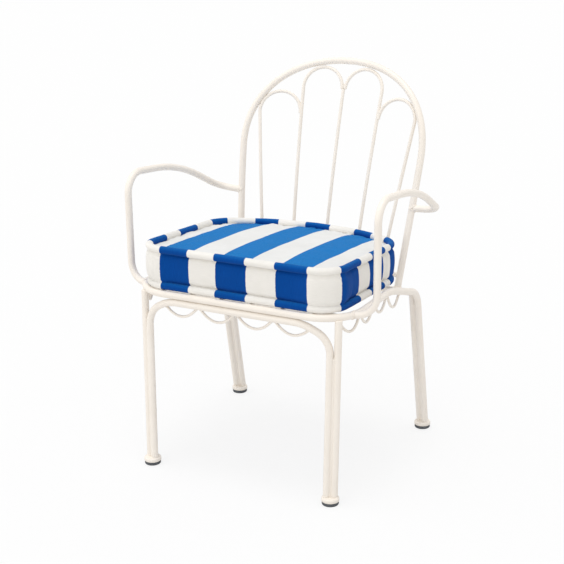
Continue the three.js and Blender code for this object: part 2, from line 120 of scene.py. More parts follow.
class StockSizes(bpy.types.PropertyGroup):
    """Bar and wire that the chair is bent from"""

    tube: size("Tube", "Diameter of the frame, arm and leg tube", 0.016)
    wire: size("Back wire", "Diameter of the wires in the back", 0.008)
    apron: size("Apron wire", "Diameter of the scalloped wire", 0.006)
    rod: size("Seat rod", "Diameter of the rods under the cushion", 0.008)
    deck_rail: size("Deck rail", "Diameter of the bar that carries the rods", 0.012)
    tube_sides: count("Tube sides", "Faces round a tube", 24)
    wire_sides: count("Wire sides", "Faces round a wire", 14)
    bead: size("Weld bead", "Radius of the bead round a welded tube end", 0.0017)
    fine_bead: size("Fine bead", "Radius of the bead round a welded wire end", 0.00102)
    pair_bead: size("Pair bead", "Radius of the weld runs on a leg pair", 0.00153)
    pair_bead_set: size("Pair bead set", "These runs before and behind the pair's middle", 0.0032)
    seam: size("Seam", "Radius of the filling between the tubes of a leg pair", 0.00528)


class LegSizes(bpy.types.PropertyGroup):
    """Feet and leg pairs"""

    foot_radius: size("Foot radius", "Radius of the steel cup under a leg pair", 0.0195)
    cup_height: size("Cup height", "Height of the steel cup", 0.009)
    glider_height: size("Glider height", "Height of the rubber glider", 0.008)
    glider_inset: size("Glider inset", "How far the glider stands in from the cup", 0.001)
    front_foot: place("Front foot", "Middle of the right front foot", (0.2265, -0.27985))
    rear_foot: place("Rear foot", "Middle of the right rear foot", (0.2561, 0.18295))
    top_height: size("Top height", "Height at which the leg tops are given", 0.35)
    front_top: place("Front top", "Middle of the right front pair at the top", (0.2299, -0.26695))
    rear_top: place("Rear top", "Middle of the right rear pair at the top", (0.2553, 0.11665))
    pair_turn: turn("Pair turn", "How far a pair of tubes is turned from square", 22)
    front_seam: size("Front seam", "Height of the filling between the front pairs", 0.33)
    rear_seam: size("Rear seam", "Height of the filling between the rear pairs", 0.335)
    foot_weld: place("Foot weld", "Heights of the weld run at a pair's foot", (0.022, 0.05))
    top_weld: place("Top weld", "Heights of the weld run at a pair's top", (0.3, 0.335))


class SeatSizes(bpy.types.PropertyGroup):
    """Seat hoop, front rail and rear rail"""

    height: size("Seat height", "Height of the seat hoop's centre line", 0.418)
    front: size("Front", "Depth of the seat hoop's front run", -0.28135)
    front_bend: size("Front bend", "Radius of the hoop's front corners", 0.087)
    fall: size("Fall", "Depth at which the hoop starts to fall", -0.05075)
    fall_bend: size("Fall bend", "Radius where the hoop starts to fall", 0.15)
    fall_angle: turn("Fall angle", "How steeply the hoop falls to the rear", 17.2)
    rear_bend: size("Rear bend", "Radius from the hoop down into the rear leg", 0.055)
    shoulder_drop: size("Shoulder drop", "Height of the front shoulders below the hoop", 0.048)
    rail_half: size("Rail half", "Half length of the front rail between its bends", 0.165)
    shoulder_bend: size("Shoulder bend", "Radius of the front shoulders", 0.055)
    rail_bend: size("Rail bend", "Radius at the front rail's ends", 0.08)
    outer_drop: size("Outer leg drop", "How far the outer front tubes stop short", 0.004)
    rear_rail_drop: size("Rear rail drop", "Rear rail below the corner of the rear bend", 0.0061)


class BackSizes(bpy.types.PropertyGroup):
    """Leaning, bowed back with a hoop and wires"""

    foot: size("Foot depth", "Depth of the back's foot", 0.11755)
    foot_rise: size("Foot rise", "Foot of the back above the rear rail", 0.004)
    lean: turn("Lean", "How far the back leans", 12.645)
    bow: size("Bow", "Depth of the bow in plan", 0.0322)
    bow_half: size("Bow half", "Half width over which the back is bowed", 0.22)
    curl: size("Curl", "How far the top curls back", 0.0167)
    curl_reach: size("Curl reach", "Height over which the curl grows", 0.4)
    hoop_foot: size("Hoop foot", "Half width of the hoop at its feet", 0.2093)
    hoop_half: size("Hoop half", "Half width of the hoop at the crown's spring", 0.2335)
    hoop_spread: ratio("Hoop spread", "How the sides spread upwards", 1.2)
    hoop_side: size("Hoop side", "Length of the hoop's sides", 0.3117)
    hoop_crown: size("Hoop crown", "Rise of the hoop's crown", 0.2097)
    squareness: ratio("Squareness", "Two is an ellipse, more is squarer", 2.158)
    inner_foot: size("Inner wire foot", "Inner cane's foot from the middle", 0.0835)
    inner_top: size("Inner wire top", "Inner cane's top from the middle", 0.1035)
    inner_gap: size("Inner arch gap", "Inner arch below the crown", 0.0142)
    outer_foot_inset: size("Outer foot inset", "Outer cane's foot in from the hoop", 0.052)
    outer_top_inset: size("Outer top inset", "Outer cane's top in from the hoop", 0.0295)
    outer_gap: size("Outer arch gap", "Outer arch below the crown", 0.0387)


class ArmSizes(bpy.types.PropertyGroup):
    """Corners of the arm tube: out from the seat's side, depth, and rise above the seat"""

    joint_rise: size("Joint rise", "Where the arm meets the back hoop", 0.1896)
    back: place("Back corner", "Out, depth and rise", (0.0303, 0.15955, 0.1366))
    back_bend: size("Back bend", "Radius of the back corner", 0.041)
    top: place("Top corner", "Out, depth and rise", (0.0408, -0.00605, 0.2232))
    top_bend: size("Top bend", "Radius of the top corner", 0.48)
    front: place("Front corner", "Out, depth and rise", (0.0404, -0.21375, 0.2436))
    front_bend: size("Front bend", "Radius of the front corner", 0.0454)
    knee: place("Knee", "Out, depth and rise", (0.0399, -0.21525, 0.004))
    knee_bend: size("Knee bend", "Radius of the knee", 0.041)
    foot_set: size("Foot set", "Arm's foot behind the hoop's front", 0.0505)
    short: size("Short", "How far the ends stop short of the centre lines", 0.004)


class ApronSizes(bpy.types.PropertyGroup):
    """Scalloped wires under the seat"""

    front_drop: size("Front drop", "Depth of the front scallops", 0.025)
    side_drop: size("Side drop", "Depth of the side scallops", 0.03)
    scallops: count("Scallops", "Scallops in a row", 4)
    pinch: ratio("Pinch", "How far the cusps are drawn in", 0.5)
    front_half: size("Front half", "Half length of the front row", 0.184)
    side_start: size("Side start", "Start of a side row before the straight side", -0.072)
    side_pitch: size("Side pitch", "Length of a side scallop", 0.072)
    rear_half: size("Rear half", "Half length of the rear row", 0.13)


class DeckSizes(bpy.types.PropertyGroup):
    """Rods that carry the cushion"""

    fall_set: size("Fall set", "Where the rods start to fall, behind the front", 0.0279)
    fall_angle: turn("Fall angle", "How steeply the rods fall", 3.7)
    fall_bend: size("Fall bend", "Radius where the rods start to fall", 0.06)
    rods: count("Rods", "Rods from front to rear", 6)
    pitch: size("Pitch", "From rod to rod", 0.074)
    sink: size("Sink", "Rod tops below the hoop's top", 0.0015)
    cross_set: size("Cross rod set", "Front cross rod behind the front", 0.0529)
    cross_rear: size("Rear cross rod", "Depth of the rear cross rod", 0.03355)


class CushionSizes(bpy.types.PropertyGroup):
    """Box cushion with a rolled edge top and bottom"""

    overhang: size("Overhang", "Front of the cushion ahead of the hoop", 0.0031)
    side_gap: size("Side gap", "Between the cushion and the hoop's side", 0.0099)
    front_bend: size("Front corner", "Radius of the front corners", 0.061)
    taper: size("Taper", "How much each side draws in to the rear", 0.003)
    side_end: size("Side end", "Depth of the rear corners", 0.05855)
    rear_bend: size("Rear corner", "Radius of the rear corners", 0.083)
    rear: size("Rear", "Depth of the rear edge", 0.12955)
    rear_flat: size("Rear flat", "Half length of the flat at the rear", 0.11)
    sweep: size("Rear sweep", "Depth at which the rear sweeps forward", 0.11955)
    sweep_bend: size("Sweep bend", "Radius of the rear sweep", 0.3)
    thickness: size("Thickness", "Height at the rolled edge", 0.0985)
    panel_drop: size("Panel drop", "Edge of the top panel below the rolls' tops", 0.0125)
    panel_lift: size("Panel lift", "Rise of the top panel just inside its edge", 0.0015)
    crown: size("Crown", "Rise of the top panel over its edge", 0.0035)
    sole: size("Sole", "Bottom panel above the deck", 0.0012)
    hem: size("Hem", "Edge of the bottom panel above the deck", 0.0035)
    waist: size("Waist", "How much more the side band draws in beside the rolls", 0.0035)
    band_drop: size("Band drop", "Top of the side band below the top panel", 0.004)
    roll: size("Roll", "Diameter of the rolled edge", 0.017)
    band_inset: size("Band inset", "Side band in from the edge between the corners", 0.006)
    corner_inset: size("Corner inset", "Side band in from the edge at the corners", -0.0005)
    crease: size("Crease", "Depth of the crease beside a rolled edge", 0.004)
    crease_width: size("Crease width", "Half width of that crease", 0.0045)
    joint: size("Joint", "Depth of the groove at a joint of the side band", 0.0014)
    joint_width: size("Joint width", "Half width of that groove", 0.0022)
    pucker: size("Pucker", "Height of the puckers along the seams", 0.0022)
    rumple: size("Rumple", "Height of the broad unevenness of the cloth", 0.0012)
    voxel: size("Voxel", "Grain of the mesh that is simulated", 0.005)
    swell: size("Swell", "Most that the filling pushes the panels out", 0.0045)
    band_swell: size("Band swell", "Most that the filling pushes the side band out", 0.003)
    pressure: number("Pressure", "Push of the filling", 4.0)
    stripe: size("Stripe", "Width of a blue stripe", 0.0745)
    stripe_pitch: size("Stripe pitch", "From one blue stripe to the next", 0.145)
    stripe_start: size("Stripe start", "Where a blue stripe starts, from the middle", 0.1)
    band_seam: size("Band seam", "Seam of the rear band, round the edge", 0.487)


class FinishColours(bpy.types.PropertyGroup):
    """Colours of the finishes"""

    paint: colour("Paint", "Cream powder coat", (0.88, 0.82, 0.745))
    paint_shade: colour("Paint shade", "Second tone of the coat", (0.85, 0.785, 0.705))
    rubber: colour("Rubber", "Dark grey gliders", (0.072, 0.078, 0.086))
    rubber_worn: colour("Worn rubber", "Scuffs on the gliders", (0.1884, 0.2016, 0.2192))
    blue: colour("Blue", "Blue stripes of the side band", (0.0008, 0.06, 0.295))
    # The top panel's colours are painted light: its blue is lighter, and its white darker and
    # cooler, than the side band's, for the light falling on the top
    blue_top: colour("Faded blue", "Blue stripes of the top panel", (0.007, 0.17, 0.485))
    white: colour("White", "White stripes of the side band", (0.89, 0.86, 0.81))
    white_top: colour("Bleached white", "White stripes of the top panel", (0.792, 0.79, 0.78))
    floor: colour("Floor", "Studio floor", (0.8, 0.8, 0.8))


class StudioSizes(bpy.types.PropertyGroup):
    """Camera and light"""

    eye: place("Eye", "Where the camera stands", (1.2696, -2.45375, 1.2738))
    azimuth: turn("Azimuth", "Camera's turn round the chair", 27.7562)
    elevation: turn("Elevation", "Camera's look down", 17.7796)
    roll: turn("Roll", "Camera's roll", -0.719)
    lens: FloatProperty(name="Lens", description="Focal length", default=79.753, unit="CAMERA")
    sensor: number("Sensor", "Width of the camera's sensor in millimetres", 36)
    shift: FloatVectorProperty(
        name="Shift", description="Camera shift", default=(-0.00658, 0.00015), size=2
    )
    ambient: number("Ambient", "Strength of the room light", 0.78)
    key: number("Key", "Strength of the light above", 0.9)
    key_from: direction("Key from", "Where the light above comes from", (-0.02, -0.06, 1.0))
    key_spread: turn("Key spread", "Softness of the light above", 24)
    fill: number("Fill", "Strength of the light in front", 0.85)
    fill_from: direction("Fill from", "Where the light in front comes from", (-0.45, -0.8, 0.5))
    fill_spread: turn("Fill spread", "Softness of the light in front", 110)
    floor_half: size("Floor half", "Half width of the floor", 30)
    floor_lift: ratio("Floor lift", "How far the camera sees the floor as white", 0.8)


# Where each blue stripe starts and ends: on the panels from the middle to the right, and on
# the side band and rolls from the front's middle round by the right, the rear and the left.
# The band is joined at the left front corner.
PANEL_STRIPES = ((-0.187, -0.116), (-0.0435, 0.0285), (0.1015, 0.172))
BAND_JOINT = -0.2
BAND_STRIPES = (
    (-0.1816, -0.1115), (-0.0455, 0.0294), (0.1, 0.1755), (0.2525, 0.342), (0.4005, 0.473),
    (0.502, 0.585), (0.635, 0.692), (0.7647, 0.8319), (0.9023, 0.9617), (1.0343, 1.0883),
    (1.1555, 1.2295), (1.2855, 1.3565),
)
FIRST_STRIPE = -2
END_REACH = 0.06

PARTS = {
    "stock": StockSizes,
    "legs": LegSizes,
    "seat": SeatSizes,
    "back": BackSizes,
    "arms": ArmSizes,
    "apron": ApronSizes,
    "deck": DeckSizes,
    "cushion": CushionSizes,
    "finish": FinishColours,
    "studio": StudioSizes,
}


class ChairSettings(bpy.types.PropertyGroup):
    """All sizes and colours of the chair"""

    __annotations__ = {key: PointerProperty(type=group) for key, group in PARTS.items()}


# Points, centre lines and swept bars


def vec(x, y, z):
    return np.array([x, y, z], float)


def unit(v):
    return v / np.linalg.norm(v)


def lerp(a, b, t):
    return a + (b - a) * t


def square_to(way):
    """A unit vector square to a way, level unless the way is upright."""
    across = np.cross(way, DOWN)
    return unit(across if np.linalg.norm(across) > NEARLY_UPRIGHT else np.cross(way, RIGHT))


def bell(x, width):
    return np.exp(-((x / width) ** 2))


MIRROR = vec(-1, 1, 1)
RIGHT = vec(1, 0, 0)
DOWN = vec(0, 0, -1)


class Route:
    """A centre line of close points, measured along its length."""

    def __init__(self, points):
        points = np.asarray(points, float)
        steps = np.linalg.norm(np.diff(points, axis=0), axis=1)
        self.points = points[np.r_[True, steps > SAME_PLACE]]
        steps = np.linalg.norm(np.diff(self.points, axis=0), axis=1)
        self.lengths = np.r_[0, np.cumsum(steps)]
        self.total = self.lengths[-1]

    def at(self, length):
        columns = [np.interp(length, self.lengths, column) for column in self.points.T]
        return np.stack(columns, -1)

    def tangent(self, length, reach=0.0008):
        ahead = np.minimum(length + reach, self.total)
        behind = np.maximum(length - reach, 0)
        way = self.at(ahead) - self.at(behind)
        return way / np.linalg.norm(way, axis=-1, keepdims=True)

    def where(self, axis, value):
        return np.interp(value, self.points[:, axis], self.lengths)

    def distance(self, point):
        """How far a point lies from the centre line."""
        starts, ends = self.points[:-1], self.points[1:]
        ways = ends - starts
        share = np.einsum("ij,ij->i", point - starts, ways) / np.einsum("ij,ij->i", ways, ways)
        nearest = starts + ways * np.clip(share, 0, 1)[:, None]
        return np.linalg.norm(point - nearest, axis=1).min()

    def reverse(self):
        return Route(self.points[::-1])


def bent(start, corners, end):
    """Straight runs between corners, each (corner, bend radius) rounded."""
    points = [start]
    before = start
    for i, (corner, radius) in enumerate(corners):
        after = corners[i + 1][0] if i + 1 < len(corners) else end
        arriving, leaving = unit(corner - before), unit(after - corner)
        angle = math.acos(np.clip(arriving @ leaving, -1, 1))
        begin = corner - arriving * radius * math.tan(angle / 2)
        inward = unit(leaving - arriving * math.cos(angle))
        centre = begin + inward * radius
        for t in np.linspace(0, angle, math.ceil(angle / BEND_FACET) + 1):
            points.append(centre + radius * (arriving * math.sin(t) - inward * math.cos(t)))
        before = corner
    points.append(end)
    return Route(points)


def flip_corners(corners):
    return [(corner * MIRROR, radius) for corner, radius in corners]


def both_sides(corners):
    return flip_corners(corners) + corners[::-1]


def carried_frames(points, closed=False):
    """Two cross directions at each point, carried along without twist."""
    if closed:
        ways = np.roll(points, -1, axis=0) - np.roll(points, 1, axis=0)
    else:
        ways = np.gradient(points, axis=0)
    ways /= np.linalg.norm(ways, axis=1, keepdims=True)
    across = [square_to(ways[0])]
    for way in ways[1:]:
        carried = across[-1] - way * (across[-1] @ way)
        across.append(unit(carried))
    across = np.array(across)
    return across, np.cross(ways, across)


def sweep(points, radii, sides, closed=False):
    """Vertices and faces of a round bar along points, its radius given at each point."""
    points = np.asarray(points, float)
    radii = np.broadcast_to(radii, len(points))
    across, over = carried_frames(points, closed)
    angles = 2 * math.pi * (np.arange(sides) + 0.5) / sides
    ring = across[:, None] * np.cos(angles)[:, None] + over[:, None] * np.sin(angles)[:, None]
    verts = (points[:, None] + radii[:, None, None] * ring).reshape(-1, 3)
    rows = len(points)
    faces = []
    for row in range(rows if closed else rows - 1):
        low, high = row * sides, (row + 1) % rows * sides
        for i in range(sides):
            j = (i + 1) % sides
            faces.append((low + i, low + j, high + j, high + i))
    if not closed:
        faces.append(tuple(range(sides))[::-1])
        faces.append(tuple(range((rows - 1) * sides, rows * sides)))
    return verts, faces


END_EASE_SHARE = 0.35
EASE_STEP_SHARES = (1.0, 0.72, 0.4, 0.13, 0.0)


def rounded_bar(route, radius, sides):
    """A bar with eased ends, swept along a route."""
    ease = radius * END_EASE_SHARE
    steps = np.array(EASE_STEP_SHARES)
    stations, eased = ease * (1 - steps) ** 2, radius - ease * steps * steps
    clear = ease * 1.5
    middle = route.lengths[(route.lengths > clear) & (route.lengths < route.total - clear)]
    lengths = np.concatenate([stations, middle, route.total - stations[::-1]])
    radii = np.concatenate([eased, np.full(len(middle), radius), eased[::-1]])
    return sweep(route.at(lengths), radii, sides)


def joined(parts):
    """Several (vertices, faces) as one."""
    verts, faces, base = [], [], 0
    for part_verts, part_faces in parts:
        verts.append(part_verts)
        faces += [tuple(base + i for i in face) for face in part_faces]
        base += len(part_verts)
    return np.concatenate(verts), faces


def skin(rings, low, high):
    """A closed shape over rings of points, drawn in to a point below and one above."""
    sides, last = len(rings[0]), (len(rings) - 1) * len(rings[0])
    faces = []
    for i in range(sides):
        j = (i + 1) % sides
        faces.append((last + sides, j, i))
        for row in range(0, last, sides):
            faces.append((row + i, row + j, row + sides + j, row + sides + i))
        faces.append((last + i, last + j, last + sides + 1))
    return np.concatenate([*rings, [low, high]]), faces


def lathe(profile, centre, height):
    """A turned solid: (radius, height) pairs from the bottom's middle to the top's."""
    angles = 2 * math.pi * np.arange(FOOT_SIDES) / FOOT_SIDES
    ring = np.stack([np.cos(angles), np.sin(angles), np.zeros(FOOT_SIDES)], 1)
    levels = [vec(centre[0], centre[1], height + rise) for _, rise in profile]
    rings = [level + ring * radius for level, (radius, _) in zip(levels, profile)]
    return skin(rings[1:-1], levels[0], levels[-1])


def cup_profile(radius, height):
    """A steel cup: a small chamfer below, and a shoulder rounded over to the top."""
    chamfer = 0.0006
    shoulder = ((0, 0.6), (0.0005, 0.78), (0.0018, 0.91), (0.0036, 0.98), (0.006, 1))
    wall = [(radius - inset, height * share) for inset, share in shoulder]
    return [(0, 0), (radius - chamfer, 0), (radius, chamfer), *wall, (0, height)]


def glider_profile(radius, height):
    """A rubber glider: a hollow in the sole, a rounded tread and an eased rim."""
    hollow = 0.0016
    sole = ((0, hollow), (0.45, hollow), (0.5, 0.0003), (0.54, 0))
    tread = ((0.0024, 0), (0.001, 0.0005), (0.0002, hollow), (0, 0.0028))
    rim = ((0, 0.0012), (0.0003, 0.0004), (0.0012, 0))
    return [
        *((radius * share, rise) for share, rise in sole),
        *((radius - inset, rise) for inset, rise in tread),
        *((radius - inset, height - fall) for inset, fall in rim),
        (0, height),
    ]


def add_piece(name, shape, material, body="frame", replaces=()):
    """A smooth mesh piece that rides on a body and stands for the CAD nodes it replaces."""
    verts, faces = shape
    mesh = bpy.data.meshes.new(name)
    mesh.from_pydata(verts.tolist(), [], faces)
    mesh.validate()
    mesh.polygons.foreach_set("use_smooth", [True] * len(mesh.polygons))
    mesh.set_sharp_from_angle(angle=SHARP_EDGE)
    mesh.materials.append(material)
    piece = bpy.data.objects.new(name, mesh)
    bpy.context.scene.collection.objects.link(piece)
    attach(piece, body)
    if replaces:
        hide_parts(*replaces)
    return piece


# The chair's routes, worked out from its sizes


class ChairPlan:
    """Centre lines of every bar, from the sizes in the settings."""

    def __init__(self, settings):
        for part in PARTS:
            setattr(self, part, getattr(settings, part))
        self.tube_radius = self.stock.tube / 2
        self.foot_top = self.legs.glider_height + WELD_GAP + self.legs.cup_height
        self.leg_end = self.foot_top - self.legs.cup_height / 2
        self.plan_seat()
        self.back_foot_height = self.rear_rail_height + self.back.foot_rise
        self.deck_slope = math.tan(self.deck.fall_angle)
        self.fall_y = self.seat.front + self.deck.fall_set
        self.rod_rise = self.tube_radius - self.stock.rod / 2 - self.deck.sink

    def leg_point(self, row, side, which, z):
        legs = self.legs
        foot, top = getattr(legs, f"{row}_foot"), getattr(legs, f"{row}_top")
        share = z / legs.top_height
        half = (self.stock.tube + WELD_GAP) / 2
        sign = 1 if which == "outer" else -1
        along = half * math.sin(legs.pair_turn) * (1 if row == "front" else -1)
        x = lerp(foot[0], top[0], share) + sign * half * math.cos(legs.pair_turn)
        y = lerp(foot[1], top[1], share) + sign * along
        return vec(side * x, y, z)

    def plan_seat(self):
        seat, legs = self.seat, self.legs
        foot = self.leg_point("rear", 1, "outer", 0)
        top = self.leg_point("rear", 1, "outer", legs.top_height)
        slope = math.tan(seat.fall_angle)
        leg_slope = (top[1] - foot[1]) / legs.top_height
        fall_at_foot = seat.height - (foot[1] - seat.fall) * slope
        bend_height = fall_at_foot / (1 + slope * leg_slope)
        self.half_width = top[0]
        corners = [
            (self.leg_point("rear", 1, "outer", bend_height), seat.rear_bend),
            (vec(self.half_width, seat.fall, seat.height), seat.fall_bend),
            (vec(self.half_width, seat.front, seat.height), seat.front_bend),
        ]
        leg_end = self.leg_point("rear", 1, "outer", self.leg_end)
        middle = vec(0, seat.front, seat.height)
        self.seat_route = bent(leg_end * MIRROR, both_sides(corners), leg_end)
        self.seat_halves = {
            1: bent(middle, corners[::-1], leg_end),
            -1: bent(middle, flip_corners(corners[::-1]), leg_end * MIRROR),
        }
        self.rear_rail_height = bend_height - seat.rear_rail_drop
        rail_end = self.leg_point("rear", 1, "inner", self.rear_rail_height)
        self.rear_rail = Route([rail_end * MIRROR, rail_end])
        shoulder = self.leg_point("front", 1, "inner", seat.height - seat.shoulder_drop)
        rail_height = seat.height - self.stock.tube - WELD_GAP
        rail_corner = vec(seat.rail_half, seat.front, rail_height)
        front_corners = [(shoulder, seat.shoulder_bend), (rail_corner, seat.rail_bend)]
        front_end = self.leg_point("front", 1, "inner", self.leg_end)
        self.front_route = bent(front_end * MIRROR, both_sides(front_corners), front_end)

    def leg_tube(self, row, side):
        top = self.rear_rail_height + self.tube_radius
        if row == "front":
            top = self.seat.height - self.seat.outer_drop
        which = "outer" if row == "front" else "inner"
        return Route([self.leg_point(row, side, which, z) for z in (self.leg_end, top)])

    def foot_centre(self, row, side):
        ends = [self.leg_point(row, side, which, self.foot_top) for which in ("inner", "outer")]
        return sum(ends) / 2

    def bow_at(self, u):
        return self.back.bow * (1 - (u / self.back.bow_half) ** 2)

    def back_point(self, u, v):
        back = self.back
        bowed = self.bow_at(u) + back.curl * (v / back.curl_reach) ** 2
        y = back.foot + v * math.sin(back.lean) + bowed * math.cos(back.lean)
        z = self.back_foot_height + v * math.cos(back.lean) - bowed * math.sin(back.lean)
        return vec(u, y, z)

    def hoop_side(self, t):
        back = self.back
        half = back.hoop_half - (back.hoop_half - back.hoop_foot) * (1 - t) ** back.hoop_spread
        return half, back.hoop_side * t

    def hoop_crown(self, t):
        back = self.back
        power = 2 / back.squareness
        cosine = math.cos(math.pi * t)
        across = math.copysign(abs(cosine) ** power, cosine)
        rise = math.sin(math.pi * t) ** power
        return back.hoop_half * across, back.hoop_side + back.hoop_crown * rise

    def back_hoop(self):
        side = [self.hoop_side(t) for t in np.linspace(0, 1, HOOP_SIDE_STEPS + 1)]
        crown = [self.hoop_crown(t) for t in np.linspace(0, 1, HOOP_CROWN_STEPS + 1)[1:-1]]
        left = [(-u, v) for u, v in reversed(side)]
        return Route([self.back_point(u, v) for u, v in side + crown + left])

    def deck_z(self, y):
        return self.seat.height - self.deck_slope * np.maximum(0, y - self.fall_y)

    def deck_rise(self, u):
        back = self.back
        lean = math.sin(back.lean) - self.deck_slope * math.cos(back.lean)
        rise = self.deck_z(back.foot) + self.rod_rise - self.back_foot_height
        rise += self.bow_at(u) * lean
        return rise / (math.cos(back.lean) + self.deck_slope * math.sin(back.lean))

    def deck_rail(self):
        places = self.back.hoop_foot * np.linspace(-1, 1, DECK_RAIL_STEPS + 1)
        return Route([self.back_point(u, self.deck_rise(u)) for u in places])

    def arch_spring(self, top, tip, gap):
        back = self.back
        in_share = (abs(top + tip) / 2 / back.hoop_half) ** back.squareness
        crown = back.hoop_side + back.hoop_crown * (1 - in_share) ** (1 / back.squareness)
        return crown - gap - (top - tip) / 2

    def upright(self, side, foot, top, spring):
        points = []
        for t in np.linspace(0, 1, UPRIGHT_STEPS + 1):
            u = side * lerp(foot, top, t)
            points.append(self.back_point(u, lerp(self.deck_rise(u), spring, t)))
        return points

    def cane(self, side, foot, top, spring, tip):
        span, middle = (top - tip) / 2, (top + tip) / 2
        points = self.upright(side, foot, top, spring)
        for t in np.linspace(0, math.pi, ARCH_STEPS + 1)[1:]:
            u = side * (middle + span * math.cos(t))
            points.append(self.back_point(u, spring + span * math.sin(t)))
        return Route(points)

    def back_wires(self):
        """The centre wire, and the inner and outer cane of each side."""
        back = self.back
        tip = (self.stock.wire + WELD_GAP) / 2
        outer_foot = back.hoop_foot - back.outer_foot_inset
        outer_top = back.hoop_half - back.outer_top_inset
        inner_spring = self.arch_spring(back.inner_top, tip, back.inner_gap)
        outer_spring = self.arch_spring(outer_top, back.inner_top, back.outer_gap)
        centre = Route(self.upright(1, 0, 0, inner_spring))
        inner, outer = {}, {}
        for _, side in SIDES:
            inner[side] = self.cane(side, back.inner_foot, back.inner_top, inner_spring, tip)
            outer[side] = self.cane(side, outer_foot, outer_top, outer_spring, back.inner_top)
        return centre, inner, outer

    def arm(self, side):
        arms, mirror = self.arms, vec(side, 1, 1)
        base = vec(self.half_width, 0, self.seat.height)
        bends = (arms.back_bend, arms.top_bend, arms.front_bend, arms.knee_bend)
        places = (arms.back, arms.top, arms.front, arms.knee)
        corners = [((base + np.array(at)) * mirror, bend) for at, bend in zip(places, bends)]
        u, v = self.hoop_side(arms.joint_rise / self.back.hoop_side)
        joint = self.back_point(side * u, v)
        half = self.seat_halves[side]
        foot = half.at(half.where(1, self.seat.front + arms.foot_set))
        start = joint + unit(corners[0][0] - joint) * arms.short
        end = foot + unit(corners[-1][0] - foot) * arms.short
        return bent(start, corners, end)

    def apron_wire(self, rail, axis, value_at, drop, inward):
        apron = self.apron
        seat = self.tube_radius + self.stock.apron / 2 + WELD_GAP
        turns = 2 * math.pi * apron.scallops
        points = []
        for t in np.linspace(0, 1, apron.scallops * SCALLOP_STEPS + 1):
            length = rail.where(axis, value_at(t - apron.pinch * math.sin(turns * t) / turns))
            along = rail.tangent(length)
            off = inward + DOWN
            off = unit(off - along * (off @ along)) * seat
            point = rail.at(length) + off
            points.append(point + DOWN * drop * (1 - math.cos(turns * t)) / 2)
        return Route(points)

    def side_depth(self, share):
        apron, seat = self.apron, self.seat
        reach = apron.side_start + apron.scallops * apron.side_pitch * share
        if reach < 0:
            reach = seat.front_bend * math.sin(reach / seat.front_bend)
        return seat.front + seat.front_bend + reach

    def aprons(self):
        """Each row's name and wire."""
        apron, rows = self.apron, []
        for name, rail, half, inward in (
            ("front", self.front_route, apron.front_half, 1),
            ("rear", self.rear_rail, apron.rear_half, -1),
        ):
            wire = self.apron_wire(
                rail, 0, lambda s: half * (2 * s - 1), apron.front_drop, vec(0, inward, 0)
            )
            rows.append((name, wire))
        for name, side in SIDES:
            rail = self.seat_halves[side]
            wire = self.apron_wire(rail, 1, self.side_depth, apron.side_drop, vec(-side, 0, 0))
            rows.append((name, wire))
        return rows

    def seat_rods(self):
        deck, top = self.deck, self.seat.height + self.rod_rise
        rods = []
        for i in range(deck.rods):
            x = (i - (deck.rods - 1) / 2) * deck.pitch
            corner = (vec(x, self.fall_y, top), deck.fall_bend)
            end = self.back_point(x, self.deck_rise(x))
            rods.append(bent(vec(x, self.seat.front, top), [corner], end))
        return rods

    def cross_rods(self):
        rods = []
        drop = self.stock.rod + WELD_GAP
        for y in (self.seat.front + self.deck.cross_set, self.deck.cross_rear):
            half = self.seat_halves[1]
            reach = half.at(half.where(1, y))[0]
            end = vec(reach, y, self.deck_z(y) + self.rod_rise - drop)
            rods.append(Route([end * MIRROR, end]))
        return rods

    def cushion_outline(self):
        """The cushion's plan, from the rear's middle round over the left and the front."""
        cushion = self.cushion
        front = self.seat.front - cushion.overhang
        half = self.half_width - self.tube_radius - cushion.side_gap
        corners = [
            (vec(cushion.rear_flat, cushion.sweep, 0), cushion.sweep_bend),
            (vec(half - cushion.taper, cushion.side_end, 0), cushion.rear_bend),
            (vec(half, front, 0), cushion.front_bend),
        ]
        middle = vec(0, cushion.rear, 0)
        return bent(middle, both_sides(corners), middle)

    def cushion_base(self, y):
        return self.deck_z(y) + self.tube_radius + WELD_GAP


# Node materials


class Nodes:
    """A node tree under way: each method adds a node and gives its output."""

    def __init__(self, tree):
        self.tree = tree

    def find(self, kind):
        return next(node for node in self.tree.nodes if node.type == kind)

    def put(self, node, inputs):
        """Sets a node's sockets, each to a value or to another node's output."""
        for socket, value in inputs.items():
            if isinstance(value, bpy.types.NodeSocket):
                self.tree.links.new(value, node.inputs[socket])
            else:
                node.inputs[socket].default_value = value

    def dress(self, inputs):
        self.put(self.find("BSDF_PRINCIPLED"), inputs)

    def add(self, kind, inputs=None, **settings):
        node = self.tree.nodes.new(f"ShaderNode{kind}")
        for key, value in settings.items():
            setattr(node, key, value)
        self.put(node, inputs or {})
        return node.outputs

    def place(self):
        return self.add("TexCoord")["Object"]

    def math(self, operation, *values):
        return self.add("Math", dict(enumerate(values)), operation=operation)[0]

    def stretch(self, vector, factors):
        return self.add("VectorMath", {0: vector, 1: factors}, operation="MULTIPLY")[0]

    def noise(self, vector, scale, detail=3.0, roughness=0.5):
        inputs = {"Vector": vector, "Scale": scale, "Detail": detail, "Roughness": roughness}
        return self.add("TexNoise", inputs)["Fac"]

    def spread(self, value, span, result=(0, 1)):
        """Turns one span of values into another."""
        return self.add("MapRange", dict(enumerate((value, *span, *result))))[0]

    def mix(self, factor, first, second, blend="MIX"):
        inputs = {0: factor, 6: first, 7: second}
        return self.add("Mix", inputs, data_type="RGBA", blend_type=blend)[2]

    def shade(self, base, factor, low, high):
        """Multiplies a colour by low where the factor is zero and by high where it is one."""
        return self.mix(1.0, base, self.mix(factor, low, high), "MULTIPLY")

    def bump(self, height, distance, strength, normal=None):
        inputs = {"Height": height, "Distance": distance, "Strength": strength}
        if normal:
            inputs["Normal"] = normal
        return self.add("Bump", inputs)[0]


def rgba(value, factor=1.0):
    return (*(channel * factor for channel in value), 1.0)


